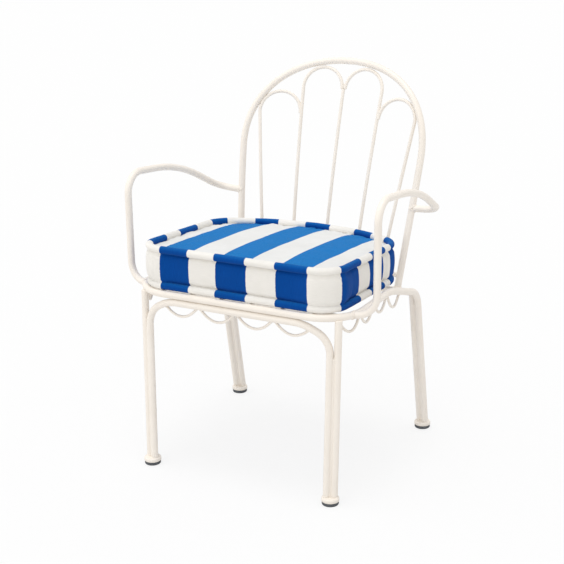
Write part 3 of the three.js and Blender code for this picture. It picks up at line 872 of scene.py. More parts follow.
def grey(level):
    return rgba((level, level, level))


WHITE = grey(1.0)
NOISE_SPAN = (0.3, 0.7)


def finish_material(name, lay, *settings):
    """The material of that name, made when it is first asked for."""
    material = bpy.data.materials.get(name)
    if not material:
        material = bpy.data.materials.new(name)
        material.use_nodes = True
        lay(Nodes(material.node_tree), *settings)
    return material


def lay_paint(nodes, finish):
    """Cream powder coat: two close tones, fine orange peel and a soft satin gloss."""
    place_at = nodes.place()
    cloud = nodes.noise(place_at, scale=9.0, detail=4.0, roughness=0.6)
    speck = nodes.noise(place_at, scale=420.0, detail=2.0, roughness=0.6)
    peel = nodes.noise(place_at, scale=900.0, detail=2.0)
    wave = nodes.noise(place_at, scale=130.0, detail=2.0)
    clouded = nodes.spread(cloud, (0.35, 0.65))
    tone = nodes.mix(clouded, rgba(finish.paint), rgba(finish.paint_shade))
    dust = nodes.spread(speck, (0.66, 0.8), (0, 0.35))
    fine = nodes.bump(peel, distance=0.00006, strength=0.6)
    nodes.dress({
        "Base Color": nodes.mix(dust, tone, rgba(finish.paint_shade, 0.86)),
        "Roughness": nodes.spread(cloud, NOISE_SPAN, (0.36, 0.5)),
        "Normal": nodes.bump(wave, distance=0.0002, strength=0.5, normal=fine),
        "Specular IOR Level": 0.45,
        "Coat Weight": 0.12,
        "Coat Roughness": 0.22,
    })


def lay_rubber(nodes, finish):
    """Dark grey moulded rubber, scuffed paler."""
    place_at = nodes.place()
    grain = nodes.noise(place_at, scale=700.0, roughness=0.6)
    scuff = nodes.noise(place_at, scale=160.0, detail=4.0, roughness=0.7)
    worn = nodes.spread(scuff, (0.5, 0.75), (0, 0.6))
    nodes.dress({
        "Base Color": nodes.mix(worn, rgba(finish.rubber), rgba(finish.rubber_worn)),
        "Roughness": nodes.spread(scuff, NOISE_SPAN, (0.62, 0.85)),
        "Normal": nodes.bump(grain, distance=0.0002, strength=0.7),
    })


THREAD_PITCH = 0.0009
THREAD_SCALES = (1400.0, 60.0)
STRIPE_BLUR = 0.0005
STRIPE_WANDER = 0.0004


def lay_canvas(nodes, finish, cushion):
    """Woven canvas with blue and white stripes: the attribute cloth holds the places across
    and along the stripes in metres, and how much painted top light the cloth takes."""
    cloth = nodes.add("Attribute", attribute_name="cloth")["Vector"]
    across, along, top_light = nodes.add("SeparateXYZ", {0: cloth})
    place_at = nodes.place()

    wander = nodes.noise(cloth, scale=260.0, detail=2.0)
    wander = nodes.spread(wander, NOISE_SPAN, (-STRIPE_WANDER, STRIPE_WANDER))
    from_start = nodes.math("SUBTRACT", nodes.math("ADD", across, wander), cushion.stripe_start)
    share = nodes.math("FRACT", nodes.math("DIVIDE", from_start, cushion.stripe_pitch))
    half = cushion.stripe / cushion.stripe_pitch / 2
    soft = STRIPE_BLUR / cushion.stripe_pitch
    from_middle = nodes.math("ABSOLUTE", nodes.math("SUBTRACT", share, half))
    is_blue = nodes.spread(from_middle, (half - soft, half + soft), (1, 0))

    warp, weft = (
        nodes.math("SINE", nodes.math("MULTIPLY", place, 2 * math.pi / THREAD_PITCH))
        for place in (across, along)
    )
    weave = nodes.math("MULTIPLY", warp, weft)
    slub, pick = (
        nodes.noise(nodes.stretch(cloth, (*scales, 1.0)), scale=1.0, detail=2.0)
        for scales in (THREAD_SCALES, THREAD_SCALES[::-1])
    )
    uneven = nodes.math("MULTIPLY", nodes.math("ADD", slub, pick), 1.5)
    woven = nodes.bump(nodes.math("ADD", weave, uneven), distance=0.00012, strength=0.6)
    rumple = nodes.noise(place_at, scale=45.0)

    # Painted light: where the light falls on the top, the blue is mixed lighter and the white
    # darker and cooler
    white = nodes.mix(top_light, rgba(finish.white), rgba(finish.white_top))
    blue = nodes.mix(top_light, rgba(finish.blue), rgba(finish.blue_top))
    blue = nodes.shade(blue, nodes.spread(slub, NOISE_SPAN), grey(0.9), grey(1.12))
    white = nodes.shade(white, nodes.spread(pick, NOISE_SPAN), WHITE, grey(0.95))
    cloud = nodes.noise(place_at, scale=14.0, detail=4.0, roughness=0.6)
    clouded = nodes.spread(cloud, (0.35, 0.7))
    base = nodes.mix(is_blue, white, blue)
    nodes.dress({
        "Base Color": nodes.shade(base, clouded, WHITE, rgba((0.95, 0.95, 0.94))),
        "Roughness": nodes.spread(weave, (-1, 1), (0.78, 0.92)),
        "Normal": nodes.bump(rumple, distance=0.0012, strength=0.5, normal=woven),
        "Specular IOR Level": 0.06,
        "Sheen Weight": 0.05,
        "Sheen Roughness": 0.45,
        "Sheen Tint": (0.75, 0.88, 1.0, 1.0),
    })


def lay_floor(nodes, finish, studio):
    """A pale floor that the camera sees almost white, with the chair's soft shadow."""
    nodes.dress({"Base Color": rgba(finish.floor), "Roughness": 0.9, "Specular IOR Level": 0.0})
    glow = nodes.add("Emission", {"Color": WHITE, "Strength": 1.0})[0]
    seen = nodes.add("LightPath")["Is Camera Ray"]
    lift = nodes.math("MULTIPLY", seen, studio.floor_lift)
    plain = nodes.find("BSDF_PRINCIPLED").outputs[0]
    both = nodes.add("MixShader", {0: lift, 1: plain, 2: glow})[0]
    nodes.put(nodes.find("OUTPUT_MATERIAL"), {"Surface": both})


def lay_room(nodes, studio):
    """White to the camera and in reflections, and dimmer as the room's light."""
    path = nodes.add("LightPath")
    shown = nodes.math("MAXIMUM", path["Is Camera Ray"], path["Is Glossy Ray"])
    shown = nodes.math("MAXIMUM", shown, path["Is Transmission Ray"])
    strength = nodes.spread(shown, (0, 1), (studio.ambient, 1))
    nodes.put(nodes.find("BACKGROUND"), {"Color": WHITE, "Strength": strength})


# Weld beads

TIP_WELD_SET = 0.002
TIP_WELD_LENGTH = 0.011
TIP_WELD_ASIDE_SHARE = 0.45
SADDLE_REACH = 4
BEAD_SINK_SHARE = 0.15
RIPPLE_SHARE = 0.16
RIPPLE_STEP = 2.2
WOBBLE_SHARE = 0.2
WOBBLE_STEP = 0.35
RUN_OUT = 0.08


def saddle(host, host_radius, tip, way, radius, bead):
    """The line round a bar's end where it enters another bar, as points."""
    first = square_to(way)
    second = np.cross(way, first)
    points = []
    for angle in 2 * math.pi * np.arange(SADDLE_STEPS) / SADDLE_STEPS:
        ray = tip + radius * (first * math.cos(angle) + second * math.sin(angle))
        outside = -SADDLE_REACH * host_radius
        inside = host_radius if host.distance(ray) > host_radius else 0.0
        for _ in range(SADDLE_HALVINGS):
            middle = (outside + inside) / 2
            if host.distance(ray + way * middle) > host_radius:
                outside = middle
            else:
                inside = middle
        points.append(ray + way * (outside - bead * BEAD_SINK_SHARE))
    return np.array(points)


def rippled(steps, bead, seed):
    """Bead radii with the ripple that a welder's hand leaves."""
    ripples = RIPPLE_SHARE * np.sin(RIPPLE_STEP * np.arange(steps))
    wobble = [noise.noise(Vector((i * WOBBLE_STEP, seed, 0.5))) for i in range(steps)]
    return bead * (1 + ripples + WOBBLE_SHARE * np.array(wobble))


def end_bead(route, at_end, radius, host, host_radius, bead, seed):
    """A bead round the end of a bar that is welded to a host bar. Its seed sets its wobble."""
    line = route if at_end else route.reverse()
    tip = line.at(line.total)
    way = unit(tip - line.at(line.total - host_radius * 1.6))
    points = saddle(host, host_radius, tip, way, radius, bead)
    return sweep(points, rippled(len(points), bead, seed), BEAD_SIDES, closed=True)


def side_bead(start, end, bead, seed, steps=30):
    """A short run of weld in the groove between two bars side by side."""
    points = [lerp(start, end, t) for t in np.linspace(0, 1, steps)]
    fade = np.sqrt(np.sin(np.linspace(RUN_OUT, math.pi - RUN_OUT, steps)))
    return sweep(points, rippled(steps, bead, seed) * fade, BEAD_SIDES)


def tip_beads(cane, host, radius, bead, seed):
    """Two runs of weld where a cane's tip lies along the next wire."""
    tip, way = cane.at(cane.total), cane.tangent(cane.total)
    nearest = host.points[np.argmin(np.linalg.norm(host.points - tip, axis=1))]
    beside = unit(nearest - tip)
    square = unit(np.cross(beside, way))
    runs = []
    for face in (1, -1):
        aside = square * face * radius * TIP_WELD_ASIDE_SHARE
        start = tip + beside * radius + aside - way * TIP_WELD_SET
        runs.append(side_bead(start, start - way * TIP_WELD_LENGTH, bead, seed + face))
    return runs


# Cushion shapes

# The rolls in from the outline, their lumps, and how much of the top panel's painted light the
# rolls' upper sides and the bottom panel take
ROLL_INSET = 0.0004
ROLL_LUMP_SHARE = 0.035
ROLL_LUMP_SCALES = (22, 60)
ROLL_LUMP_LAYER = 40
ROLL_TOP_LIGHT = 0.45
UNDERSIDE_TOP_LIGHT = 0.3

# The shell's rows of points, as shares of the way to the middle, and its corners
BOTTOM_ROW_SHARES = (0.75, 0.5, 0.3, 0.15, 0.05)
BAND_ROWS = 8
TOP_ROW_SHARES = (0.05, 0.12, 0.22, 0.35, 0.5, 0.75)
CROWN_FULL_AT = 1.6
CORNER_REACH = 0.035
CORNER_RADIUS = 0.11
EDGE_SMOOTHING = 0.004

# What the filling and the puckers may move
SEAM_SHARE = 0.55
UPPER_SHARE = 0.8
FILLING_CLEARANCE = 0.0006
DECK_CLEARANCE = 0.0004
CLOTH_QUALITY = 5
FILLING_FRAMES = 20
BAND_REACH = 0.03
BAND_GAP_SHARE = 0.85
BAND_RISE_SHARE = 0.4
UNDERSIDE = 0.01
UPRIGHT_SPAN = (0.1875, 0.8125)
RUMPLE_SCALE = 14
RUMPLE_SEED = 5.0
# Two sizes of puckers: scale along and away from a seam, noise seed, and how far they run
PUCKERS = ((70, 12, 3.1, 0.02), (28, 6, 8.4, 0.05))


class CushionEdge:
    """The cushion's outline and the places along it."""

    def __init__(self, plan):
        self.plan = plan
        self.cushion = plan.cushion
        self.route = plan.cushion_outline()
        self.total = self.route.total

    def height(self, points):
        """How high points lie above the deck."""
        return points[:, 2] - self.plan.cushion_base(points[:, 1])

    def ring(self, inset, spacing):
        """Points inset from the outline, their places from the front's middle, and the inward
        way at each."""
        steps = round(self.total / spacing)
        lengths = np.arange(steps) * self.total / steps
        along = self.route.tangent(lengths, EDGE_SMOOTHING)
        inward = np.stack([-along[:, 1], along[:, 0], np.zeros(steps)], 1)
        return self.route.at(lengths) + inward * inset, lengths - self.total / 2, inward

    def nearest(self, points, inset):
        """For each point: its gap from the inset outline, its place and the inward way."""
        ring, places, inward = self.ring(inset, EDGE_SPACING)
        tree = kdtree.KDTree(len(ring))
        for i, spot in enumerate(ring):
            tree.insert(Vector(spot), i)
        tree.balance()
        found = [tree.find((x, y, 0)) for x, y, _ in points]
        index, gap = (np.array([hit[i] for hit in found]) for i in (1, 2))
        along = np.stack([inward[index, 1], -inward[index, 0]], 1)
        past = np.einsum("ij,ij->i", (points - ring[index])[:, :2], along)
        return gap, places[index] + past, inward[index]

    def cornered(self, inward, spacing):
        """One at the corners and zero where the outline runs straight, smoothed between."""
        turning = np.linalg.norm(np.roll(inward, -1, axis=0) - inward, axis=1) / spacing
        reach = round(CORNER_REACH / spacing)
        spread = sum(np.roll(turning, i) for i in range(-reach, reach + 1)) / (2 * reach + 1)
        return np.clip(spread * CORNER_RADIUS, 0, 1)

    def stripe_place(self, measured, stripes):
        """The place across the woven stripes, from where each stripe starts and ends."""
        cushion = self.cushion
        real, woven = [], []
        for i, (start, end) in enumerate(stripes, FIRST_STRIPE):
            begin = cushion.stripe_start + i * cushion.stripe_pitch
            real += [start, end]
            woven += [begin, begin + cushion.stripe]
        real, woven = ([row[0] - END_REACH, *row, row[-1] + END_REACH] for row in (real, woven))
        return np.interp(measured, real, woven)

    def band_place(self, s, face):
        """The same for face corners at s round the edge. A face over the joint isn't split."""
        lowest, highest = np.full(face[-1] + 1, np.inf), np.full(face[-1] + 1, -np.inf)
        np.minimum.at(lowest, face, s)
        np.maximum.at(highest, face, s)
        over = (lowest < BAND_JOINT) & (highest >= BAND_JOINT) & (highest < BAND_JOINT + END_REACH)
        round_at = np.where((s >= BAND_JOINT) | over[face], s, s + self.total)
        return self.stripe_place(round_at, BAND_STRIPES)


def cushion_shell(edge):
    """The closed shape that is filled: flat below, sides that pull in between the corners,
    and a low crown. Each row of points is in from the outline, then a share of the way to
    the middle, at a height."""
    cushion = edge.cushion
    roll, top = cushion.roll, cushion.thickness - cushion.panel_drop
    outline, _, inward = edge.ring(0.0, SHELL_SPACING)
    side = lerp(cushion.band_inset, cushion.corner_inset, edge.cornered(inward, SHELL_SPACING))
    centre = vec(0, (outline[:, 1].min() + outline[:, 1].max()) / 2, 0)
    rows = [(roll * 1.1, share, cushion.sole) for share in BOTTOM_ROW_SHARES]
    rows += [(roll * 0.8, 0, cushion.hem), (roll * 0.55, 0, roll * 0.6)]
    for share in np.linspace(0, 1, BAND_ROWS):
        drawn = side + cushion.waist * (1 - math.sin(math.pi * share))
        rows.append((drawn, 0, lerp(roll * 0.95, top - cushion.band_drop, share)))
    rows += [(roll * 0.55, 0, top - cushion.panel_lift), (roll * 0.85, 0, top)]
    for share in TOP_ROW_SHARES:
        rise = cushion.crown * 0.9 * math.sin(min(1, share * CROWN_FULL_AT) * math.pi / 2)
        rows.append((roll * 1.1, share, top + cushion.panel_lift + rise))
    rings = []
    for inset, share, height in rows:
        inset = np.broadcast_to(inset, len(outline))[:, None]
        points = lerp(outline + inward * inset, centre, share)
        points[:, 2] = edge.plan.cushion_base(points[:, 1]) + height
        rings.append(points)
    base = centre + vec(0, 0, edge.plan.cushion_base(centre[1]))
    low, high = (base + vec(0, 0, z) for z in (cushion.sole, top + cushion.crown * 0.95))
    return skin(rings, low, high)


def mesh_array(items, key, width=3, kind=float):
    """One attribute of a mesh's vertices, corners or faces, a row for each."""
    values = np.empty(len(items) * width, kind)
    items.foreach_get(key, values)
    return values.reshape(-1, width) if width > 1 else values


def apply_modifiers(piece):
    """The piece's mesh as its modifiers leave it, and no modifiers."""
    evaluated = piece.evaluated_get(bpy.context.evaluated_depsgraph_get())
    mesh = bpy.data.meshes.new_from_object(evaluated)
    old, piece.data = piece.data, mesh
    piece.modifiers.clear()
    bpy.data.meshes.remove(old)


def fill_cushion(piece, edge):
    """Remeshes the shell and lets the filling push it out against its seams."""
    cushion = edge.cushion
    remesh = piece.modifiers.new("grain", "REMESH")
    remesh.mode = "VOXEL"
    remesh.voxel_size = cushion.voxel
    apply_modifiers(piece)
    start = mesh_array(piece.data.vertices, "co")
    height = edge.height(start)
    near, _, _ = edge.nearest(start, cushion.roll * 0.6)
    at_roll = (height < cushion.roll) | (height > cushion.thickness - cushion.roll * 1.1)
    held = np.flatnonzero((near < cushion.roll * SEAM_SHARE) & at_roll)
    seams = piece.vertex_groups.new(name="seams")
    seams.add(held.tolist(), 1.0, "REPLACE")
    filling = piece.modifiers.new("filling", "CLOTH")
    filling.settings.quality = CLOTH_QUALITY
    filling.settings.vertex_group_mass = seams.name
    filling.settings.use_pressure = True
    filling.settings.uniform_pressure_force = cushion.pressure
    filling.settings.effector_weights.gravity = 0
    filling.point_cache.frame_start = 1
    filling.point_cache.frame_end = FILLING_FRAMES
    scene = bpy.context.scene
    for step in range(1, FILLING_FRAMES + 1):
        scene.frame_set(step)
    apply_modifiers(piece)
    scene.frame_set(1)
    moved = mesh_array(piece.data.vertices, "co") - start
    reach = np.linalg.norm(moved, axis=1)
    most = np.where(height > cushion.thickness * UPPER_SHARE, cushion.swell, cushion.band_swell)
    moved *= (most / np.maximum(reach, most))[:, None]
    set_points(piece.data, start + moved, edge, FILLING_CLEARANCE)
    piece.vertex_groups.clear()


def set_points(mesh, points, edge, clearance):
    """Moves a cushion's vertices, and keeps them clear of the deck."""
    floor = edge.plan.cushion_base(points[:, 1]) + clearance
    points[:, 2] = np.maximum(points[:, 2], floor)
    mesh.vertices.foreach_set("co", points.ravel())
    mesh.update()


def noise_at(places, seed):
    """Smooth noise between -1 and 1 at each row of three numbers, the last one moved on."""
    seeds = np.broadcast_to(seed, len(places))
    return np.array([noise.noise(Vector((x, y, z + s))) for (x, y, z), s in zip(places, seeds)])


def rumple_cushion(piece, edge):
    """Draws in the creases beside the rolls and the joints of the side band, and adds the
    puckers that run from the seams and fade out over the panels."""
    cushion = edge.cushion
    points, normals = (mesh_array(piece.data.vertices, key) for key in ("co", "normal"))
    gap, places, inward = edge.nearest(points, cushion.roll * 0.5)
    height = edge.height(points)
    rise = np.minimum(height, cushion.thickness - height)
    from_seam = np.hypot(np.maximum(0, gap - cushion.roll * 0.5), rise - cushion.roll / 2)
    pull = cushion.crease * bell(rise - cushion.roll, cushion.crease_width)
    for joint in (cushion.band_seam, BAND_JOINT):
        pull += cushion.joint * bell(places - joint, cushion.joint_width)
    upright = np.interp(abs(normals[:, 2]), UPRIGHT_SPAN, (1, 0))
    points += inward * (pull * upright * (gap < BAND_REACH))[:, None]
    shift = cushion.rumple * noise_at(points * RUMPLE_SCALE, RUMPLE_SEED)
    for along, away, seed, fade in PUCKERS:
        waves = np.stack([places * along, from_seam * away, np.zeros(len(places))], 1)
        shift += cushion.pucker * noise_at(waves, seed) * np.exp(-from_seam / fade)
    underneath = (height < UNDERSIDE) & (normals[:, 2] < -0.5)
    shift[underneath] = np.minimum(0, shift[underneath])
    set_points(piece.data, points + normals * shift[:, None], edge, DECK_CLEARANCE)


def lay_cloth(mesh, cloth):
    """Writes each face corner's place across and along the stripes, and its share of painted top
    light.
    """
    values = np.zeros((len(mesh.loops), 3), np.float32)
    values[:] = cloth
    attribute = mesh.attributes.new("cloth", "FLOAT_VECTOR", "CORNER")
    attribute.data.foreach_set("vector", values.ravel())


def corner_arrays(mesh):
    """The vertex of each face corner, and the face that it belongs to."""
    vertex = mesh_array(mesh.loops, "vertex_index", 1, int)
    totals = mesh_array(mesh.polygons, "loop_total", 1, int)
    return vertex, np.repeat(np.arange(len(mesh.polygons)), totals)


# Operators: one for each piece or group of like pieces


class ChairOperator:
    """What the operators share."""

    bl_options = {"REGISTER", "UNDO"}

    def start(self, context):
        self.settings = context.scene.armchair
        self.plan = ChairPlan(self.settings)
        self.stock = self.settings.stock
        finish, cushion = self.settings.finish, self.settings.cushion
        self.paint = finish_material("cream_powder_coat", lay_paint, finish)
        self.canvas = finish_material("striped_canvas", lay_canvas, finish, cushion)

    def tube(self, name, node, route, **ends):
        shape = rounded_bar(route, self.stock.tube / 2, self.stock.tube_sides, **ends)
        return add_piece(name, shape, self.paint, replaces=(node,))

    def bar(self, name, node, route, diameter):
        shape = rounded_bar(route, diameter / 2, self.stock.wire_sides)
        return add_piece(name, shape, self.paint, replaces=(node,))


class ARMCHAIR_OT_seat_hoop(ChairOperator, bpy.types.Operator):
    """Bend the seat hoop with its two rear legs"""

    bl_idname = "armchair.seat_hoop"
    bl_label = "Seat Hoop"

    def execute(self, context):
        self.start(context)
        self.tube("seat_hoop_tube", "seat_hoop", self.plan.seat_route)
        return {"FINISHED"}


class ARMCHAIR_OT_legs(ChairOperator, bpy.types.Operator):
    """Bend the front leg frame and set the straight leg tubes beside it"""

    bl_idname = "armchair.legs"
    bl_label = "Legs and Rails"

    def execute(self, context):
        self.start(context)
        self.tube("front_leg_frame_tube", "front_leg_frame", self.plan.front_route)
        for row in ("front", "rear"):
            for name, side in SIDES:
                node = f"{row}_{name}_leg_tube"
                self.tube(f"{row}_{name}_leg", node, self.plan.leg_tube(row, side))
        self.tube("rear_rail_tube", "rear_rail", self.plan.rear_rail)
        return {"FINISHED"}


class ARMCHAIR_OT_feet(ChairOperator, bpy.types.Operator):
    """Turn the steel cups and rubber gliders of the four feet"""

    bl_idname = "armchair.feet"
    bl_label = "Feet"

    def execute(self, context):
        self.start(context)
        legs = self.plan.legs
        rubber = finish_material("glider_rubber", lay_rubber, self.settings.finish)
        cup = cup_profile(legs.foot_radius, legs.cup_height)
        glider = glider_profile(legs.foot_radius - legs.glider_inset, legs.glider_height)
        for row, name, side in LEG_PAIRS:
            centre = self.plan.foot_centre(row, side)
            foot = f"{row}_{name}"
            shape = lathe(cup, centre, legs.glider_height + WELD_GAP)
            add_piece(f"{foot}_cup", shape, self.paint, replaces=(f"{foot}_foot_cup",))
            node = f"{foot}_glider"
            shape = lathe(glider, centre, 0)
            add_piece(f"{node}_pad", shape, rubber, replaces=(node,))
        return {"FINISHED"}


class ARMCHAIR_OT_back_hoop(ChairOperator, bpy.types.Operator):
    """Bend the round-topped hoop of the back"""

    bl_idname = "armchair.back_hoop"
    bl_label = "Back Hoop"

    def execute(self, context):
        self.start(context)
        self.tube("back_hoop_tube", "back_hoop", self.plan.back_hoop())
        return {"FINISHED"}


class ARMCHAIR_OT_back_wires(ChairOperator, bpy.types.Operator):
    """Bend the centre wire and the four arched canes of the back"""

    bl_idname = "armchair.back_wires"
    bl_label = "Back Wires"

    def execute(self, context):
        self.start(context)
        wire = self.stock.wire
        centre, inner, outer = self.plan.back_wires()
        self.bar("centre_wire", "back_centre_wire", centre, wire)
        for name, side in SIDES:
            self.bar(f"inner_cane_{name}", f"back_inner_cane_{name}", inner[side], wire)
            self.bar(f"outer_cane_{name}", f"back_outer_cane_{name}", outer[side], wire)
        return {"FINISHED"}


class ARMCHAIR_OT_arms(ChairOperator, bpy.types.Operator):
    """Bend the two arms"""

    bl_idname = "armchair.arms"
    bl_label = "Arms"

    def execute(self, context):
        self.start(context)
        for name, side in SIDES:
            self.tube(f"arm_{name}_tube", f"arm_{name}", self.plan.arm(side))
        return {"FINISHED"}


class ARMCHAIR_OT_apron(ChairOperator, bpy.types.Operator):
    """Bend the scalloped apron wires"""

    bl_idname = "armchair.apron"
    bl_label = "Scalloped Apron"

    def execute(self, context):
        self.start(context)
        for name, wire in self.plan.aprons():
            self.bar(f"apron_{name}_wire", f"apron_{name}", wire, self.stock.apron)
        return {"FINISHED"}


class ARMCHAIR_OT_deck(ChairOperator, bpy.types.Operator):
    """Lay the rods that carry the cushion"""

    bl_idname = "armchair.deck"
    bl_label = "Seat Deck"

    def execute(self, context):
        self.start(context)
        self.bar("deck_rail_bar", "deck_rail", self.plan.deck_rail(), self.stock.deck_rail)
        for i, rod in enumerate(self.plan.seat_rods()):
            self.bar(f"deck_rod_{i + 1}", f"seat_rod_{i + 1}", rod, self.stock.rod)
        for name, rod in zip(("front", "rear"), self.plan.cross_rods()):
            self.bar(f"deck_cross_rod_{name}", f"cross_rod_{name}", rod, self.stock.rod)
        return {"FINISHED"}


class ARMCHAIR_OT_welds(ChairOperator, bpy.types.Operator):
    """Run weld beads where the bars meet"""

    bl_idname = "armchair.welds"
    bl_label = "Weld Beads"

    def execute(self, context):
        self.start(context)
        plan, stock = self.plan, self.stock
        tube, wire, rail_radius = stock.tube / 2, stock.wire / 2, stock.deck_rail / 2
        bead, fine = stock.bead, stock.fine_bead
        hoop, rail = plan.back_hoop(), plan.deck_rail()
        centre, inner, outer = plan.back_wires()
        tubes, wires = [], []
        for _, side in SIDES:
            arm, seat = plan.arm(side), plan.seat_halves[side]
            tubes.append(end_bead(arm, False, tube, hoop, tube, bead, side))
            tubes.append(end_bead(arm, True, tube, seat, tube, bead, side + 3))
            for cane, host in ((inner[side], centre), (outer[side], inner[side])):
                wires += tip_beads(cane, host, wire, fine, side + 7)
                wires.append(end_bead(cane, False, wire, rail, rail_radius, fine, side + 9))
        for at_end in (False, True):
            tubes.append(end_bead(hoop, at_end, tube, plan.rear_rail, tube, bead, 11 + at_end))
            wires.append(end_bead(rail, at_end, rail_radius, hoop, tube, fine, 13 + at_end))
        wires.append(end_bead(centre, False, wire, rail, rail_radius, fine, 17))
        for i, rod in enumerate(plan.seat_rods()):
            wires.append(end_bead(rod, True, stock.rod / 2, rail, rail_radius, fine, 20 + i))
        for row, _, side in LEG_PAIRS:
            tubes += self.pair_beads(row, side)
        seams = [self.pair_seam(row, side) for row, _, side in LEG_PAIRS]
        for name, parts in (("frame_welds", tubes), ("pair_seams", seams), ("wire_welds", wires)):
            add_piece(name, joined(parts), self.paint)
        return {"FINISHED"}

    def between_pair(self, row, side, z):
        """The middle of a leg pair at a height, and the way square to the pair."""
        inner, outer = (self.plan.leg_point(row, side, which, z) for which in ("inner", "outer"))
        return (inner + outer) / 2, unit(np.cross(outer - inner, DOWN))

    def pair_seam(self, row, side):
        """The filling between the two tubes of a leg pair, over its whole length."""
        top = getattr(self.plan.legs, f"{row}_seam")
        ends = [self.between_pair(row, side, z)[0] for z in (self.plan.leg_end, top)]
        return rounded_bar(Route(ends), self.stock.seam, self.stock.wire_sides)

    def pair_beads(self, row, side):
        """Runs of weld before and behind a leg pair, near its top and its foot."""
        runs = []
        for low, high in (self.plan.legs.foot_weld, self.plan.legs.top_weld):
            ends = [self.between_pair(row, side, z) for z in (low, high)]
            for face in (1, -1):
                out = face * self.stock.pair_bead_set
                start, end = (middle + square * out for middle, square in ends)
                runs.append(side_bead(start, end, self.stock.pair_bead, low * 90 + face))
        return runs


class ARMCHAIR_OT_cushion(ChairOperator, bpy.types.Operator):
    """Sew and fill the box cushion"""

    bl_idname = "armchair.cushion"
    bl_label = "Cushion"

    def execute(self, context):
        self.start(context)
        edge = CushionEdge(self.plan)
        shell = cushion_shell(edge)
        piece = add_piece("cushion", shell, self.canvas, "cushion", ("seat_cushion",))
        fill_cushion(piece, edge)
        smooth = piece.modifiers.new("even", "SUBSURF")
        smooth.levels = smooth.render_levels = 1
        apply_modifiers(piece)
        rumple_cushion(piece, edge)
        self.lay_stripes(piece.data, edge)
        piece.data.polygons.foreach_set("use_smooth", [True] * len(piece.data.polygons))
        return {"FINISHED"}

    def lay_stripes(self, mesh, edge):
        """Top and bottom panels take their stripes straight, the side band round the edge."""
        cushion = edge.cushion
        points = mesh_array(mesh.vertices, "co")
        gap, round_at, _ = edge.nearest(points, 0)
        vertex, face = corner_arrays(mesh)
        face_height = edge.height(mesh_array(mesh.polygons, "center"))
        face_gap = np.zeros(len(face_height))
        np.maximum.at(face_gap, face, gap[vertex])
        middle = cushion.thickness / 2
        upright = np.abs(face_height - middle) < middle - cushion.roll * BAND_RISE_SHARE
        band = (face_gap < cushion.roll * BAND_GAP_SHARE) & upright
        side = edge.band_place(round_at[vertex], face)
        panel = edge.stripe_place(points[vertex, 0], PANEL_STRIPES)
        across = np.where(band[face], side, panel)
        along = np.where(band[face], edge.height(points)[vertex], points[vertex, 1])
        # Painted light: the top panel takes the lit tones in full, the bottom panel a share of
        # them, and the side band none
        top_light = np.where(face_height > middle, 1.0, UNDERSIDE_TOP_LIGHT) * ~band
        lay_cloth(mesh, np.stack([across, along, top_light[face]], 1))


class ARMCHAIR_OT_rolls(ChairOperator, bpy.types.Operator):
    """Sew the rolled edges of the cushion"""

    bl_idname = "armchair.rolls"
    bl_label = "Rolled Edges"

    def execute(self, context):
        self.start(context)
        edge = CushionEdge(self.plan)
        radius, top = edge.cushion.roll / 2, edge.cushion.thickness
        for name, height in (("bottom", radius + WELD_GAP), ("top", top - radius)):
            points, places, _ = edge.ring(radius + ROLL_INSET, ROLL_SPACING)
            level = points * (1, 1, 0)
            broad, fine = (level * scale for scale in ROLL_LUMP_SCALES)
            lumps = noise_at(broad, height * ROLL_LUMP_LAYER) + noise_at(fine, height) / 2
            radii = radius * (1 - ROLL_LUMP_SHARE * (1 - np.clip(lumps * 1.6, -1, 1)))
            points[:, 2] = self.plan.cushion_base(points[:, 1]) + height
            shape = sweep(points, radii, ROLL_SIDES, closed=True)
            piece = add_piece(f"cushion_roll_{name}", shape, self.canvas, "cushion")
            self.lay_stripes(piece.data, edge, points, places)
        return {"FINISHED"}

    def lay_stripes(self, mesh, edge, points, places):
        """The roll's stripes lie round the edge, and its threads round the roll."""
        vertex, face = corner_arrays(mesh)
        row, spoke = vertex // ROLL_SIDES, vertex % ROLL_SIDES
        closing = (face % ROLL_SIDES == ROLL_SIDES - 1) & (spoke == 0)
        spoke[closing] = ROLL_SIDES
        across = edge.band_place(places[row], face)
        along = spoke * math.pi * edge.cushion.roll / ROLL_SIDES
        up = (mesh_array(mesh.vertices, "co") - np.repeat(points, ROLL_SIDES, axis=0))[:, 2]
        # Painted highlight: each roll's upper side takes more of the top panel's painted light
        # towards its top
        top_light = ROLL_TOP_LIGHT * np.clip(up / (edge.cushion.roll / 2), 0, 1)[vertex] ** 2
        lay_cloth(mesh, np.stack([across, along, top_light], 1))


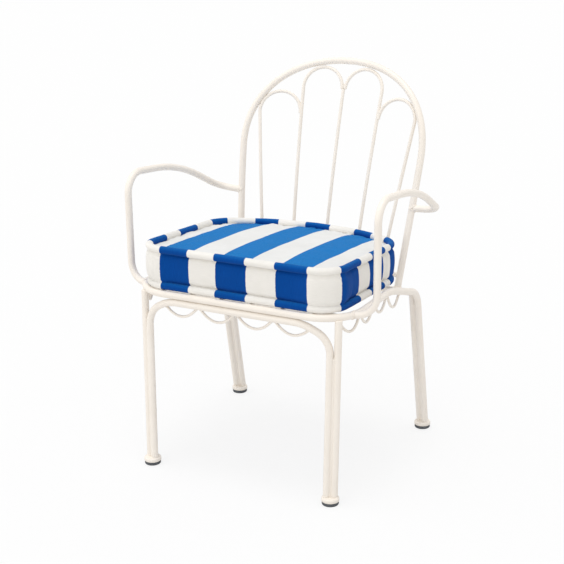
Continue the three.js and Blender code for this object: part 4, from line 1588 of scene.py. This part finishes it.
class ARMCHAIR_OT_studio(ChairOperator, bpy.types.Operator):
    """Set the floor, the light and the camera"""

    bl_idname = "armchair.studio"
    bl_label = "Studio"

    def execute(self, context):
        self.start(context)
        scene, studio = context.scene, self.settings.studio
        self.add_floor(scene, studio)
        self.add_light(scene, studio)
        self.add_camera(scene, studio)
        scene.view_settings.view_transform = "Standard"
        return {"FINISHED"}

    def add_floor(self, scene, studio):
        half = studio.floor_half
        mesh = bpy.data.meshes.new("studio_floor")
        corners = [(-half, -half, 0), (half, -half, 0), (half, half, 0), (-half, half, 0)]
        mesh.from_pydata(corners, [], [(0, 1, 2, 3)])
        finish = self.settings.finish
        mesh.materials.append(finish_material("pale_floor", lay_floor, finish, studio))
        floor = bpy.data.objects.new("studio_floor", mesh)
        scene.collection.objects.link(floor)

    def add_light(self, scene, studio):
        """An even white room, a broad soft light above and a softer one in front."""
        scene.world = bpy.data.worlds.new("white_room")
        scene.world.use_nodes = True
        lay_room(Nodes(scene.world.node_tree), studio)
        for name in ("key", "fill"):
            lamp = bpy.data.lights.new(f"{name}_light", "SUN")
            lamp.energy = getattr(studio, name)
            lamp.angle = getattr(studio, f"{name}_spread")
            light = bpy.data.objects.new(f"{name}_light", lamp)
            light.rotation_mode = "QUATERNION"
            way = Vector(getattr(studio, f"{name}_from"))
            light.rotation_quaternion = way.to_track_quat("Z", "Y")
            scene.collection.objects.link(light)

    def add_camera(self, scene, studio):
        a, e, roll = studio.azimuth, studio.elevation, studio.roll
        back = vec(math.sin(a) * math.cos(e), -math.cos(a) * math.cos(e), math.sin(e))
        right = vec(math.cos(a), math.sin(a), 0)
        up = np.cross(back, right)
        turned_right = right * math.cos(roll) + up * math.sin(roll)
        turned_up = up * math.cos(roll) - right * math.sin(roll)
        data = bpy.data.cameras.new("camera")
        data.lens = studio.lens
        data.sensor_width = studio.sensor
        data.shift_x, data.shift_y = studio.shift
        camera = bpy.data.objects.new("camera", data)
        columns = Matrix([turned_right, turned_up, back]).transposed()
        camera.matrix_world = Matrix.Translation(Vector(studio.eye)) @ columns.to_4x4()
        scene.collection.objects.link(camera)
        scene.camera = camera


STEPS = (
    ARMCHAIR_OT_seat_hoop,
    ARMCHAIR_OT_legs,
    ARMCHAIR_OT_feet,
    ARMCHAIR_OT_back_hoop,
    ARMCHAIR_OT_back_wires,
    ARMCHAIR_OT_arms,
    ARMCHAIR_OT_apron,
    ARMCHAIR_OT_deck,
    ARMCHAIR_OT_welds,
    ARMCHAIR_OT_cushion,
    ARMCHAIR_OT_rolls,
    ARMCHAIR_OT_studio,
)


class ARMCHAIR_PT_panel(bpy.types.Panel):
    """The chair's pieces and its sizes"""

    bl_idname = "ARMCHAIR_PT_panel"
    bl_label = "Armchair"
    bl_space_type = "VIEW_3D"
    bl_region_type = "UI"
    bl_category = "Armchair"

    def draw(self, context):
        column = self.layout.column(align=True)
        for step in STEPS:
            column.operator(step.bl_idname)
        for name, group in PARTS.items():
            box = self.layout.box()
            box.label(text=name.capitalize())
            for key in group.__annotations__:
                box.prop(getattr(context.scene.armchair, name), key)


CLASSES = (*PARTS.values(), ChairSettings, *STEPS, ARMCHAIR_PT_panel)


def register():
    for item in CLASSES:
        bpy.utils.register_class(item)
    bpy.types.Scene.armchair = PointerProperty(type=ChairSettings)


def unregister():
    del bpy.types.Scene.armchair
    for item in reversed(CLASSES):
        bpy.utils.unregister_class(item)


def main():
    register()
    for step in STEPS:
        group, name = step.bl_idname.split(".")
        getattr(getattr(bpy.ops, group), name)()


if __name__ == "__main__":
    main()
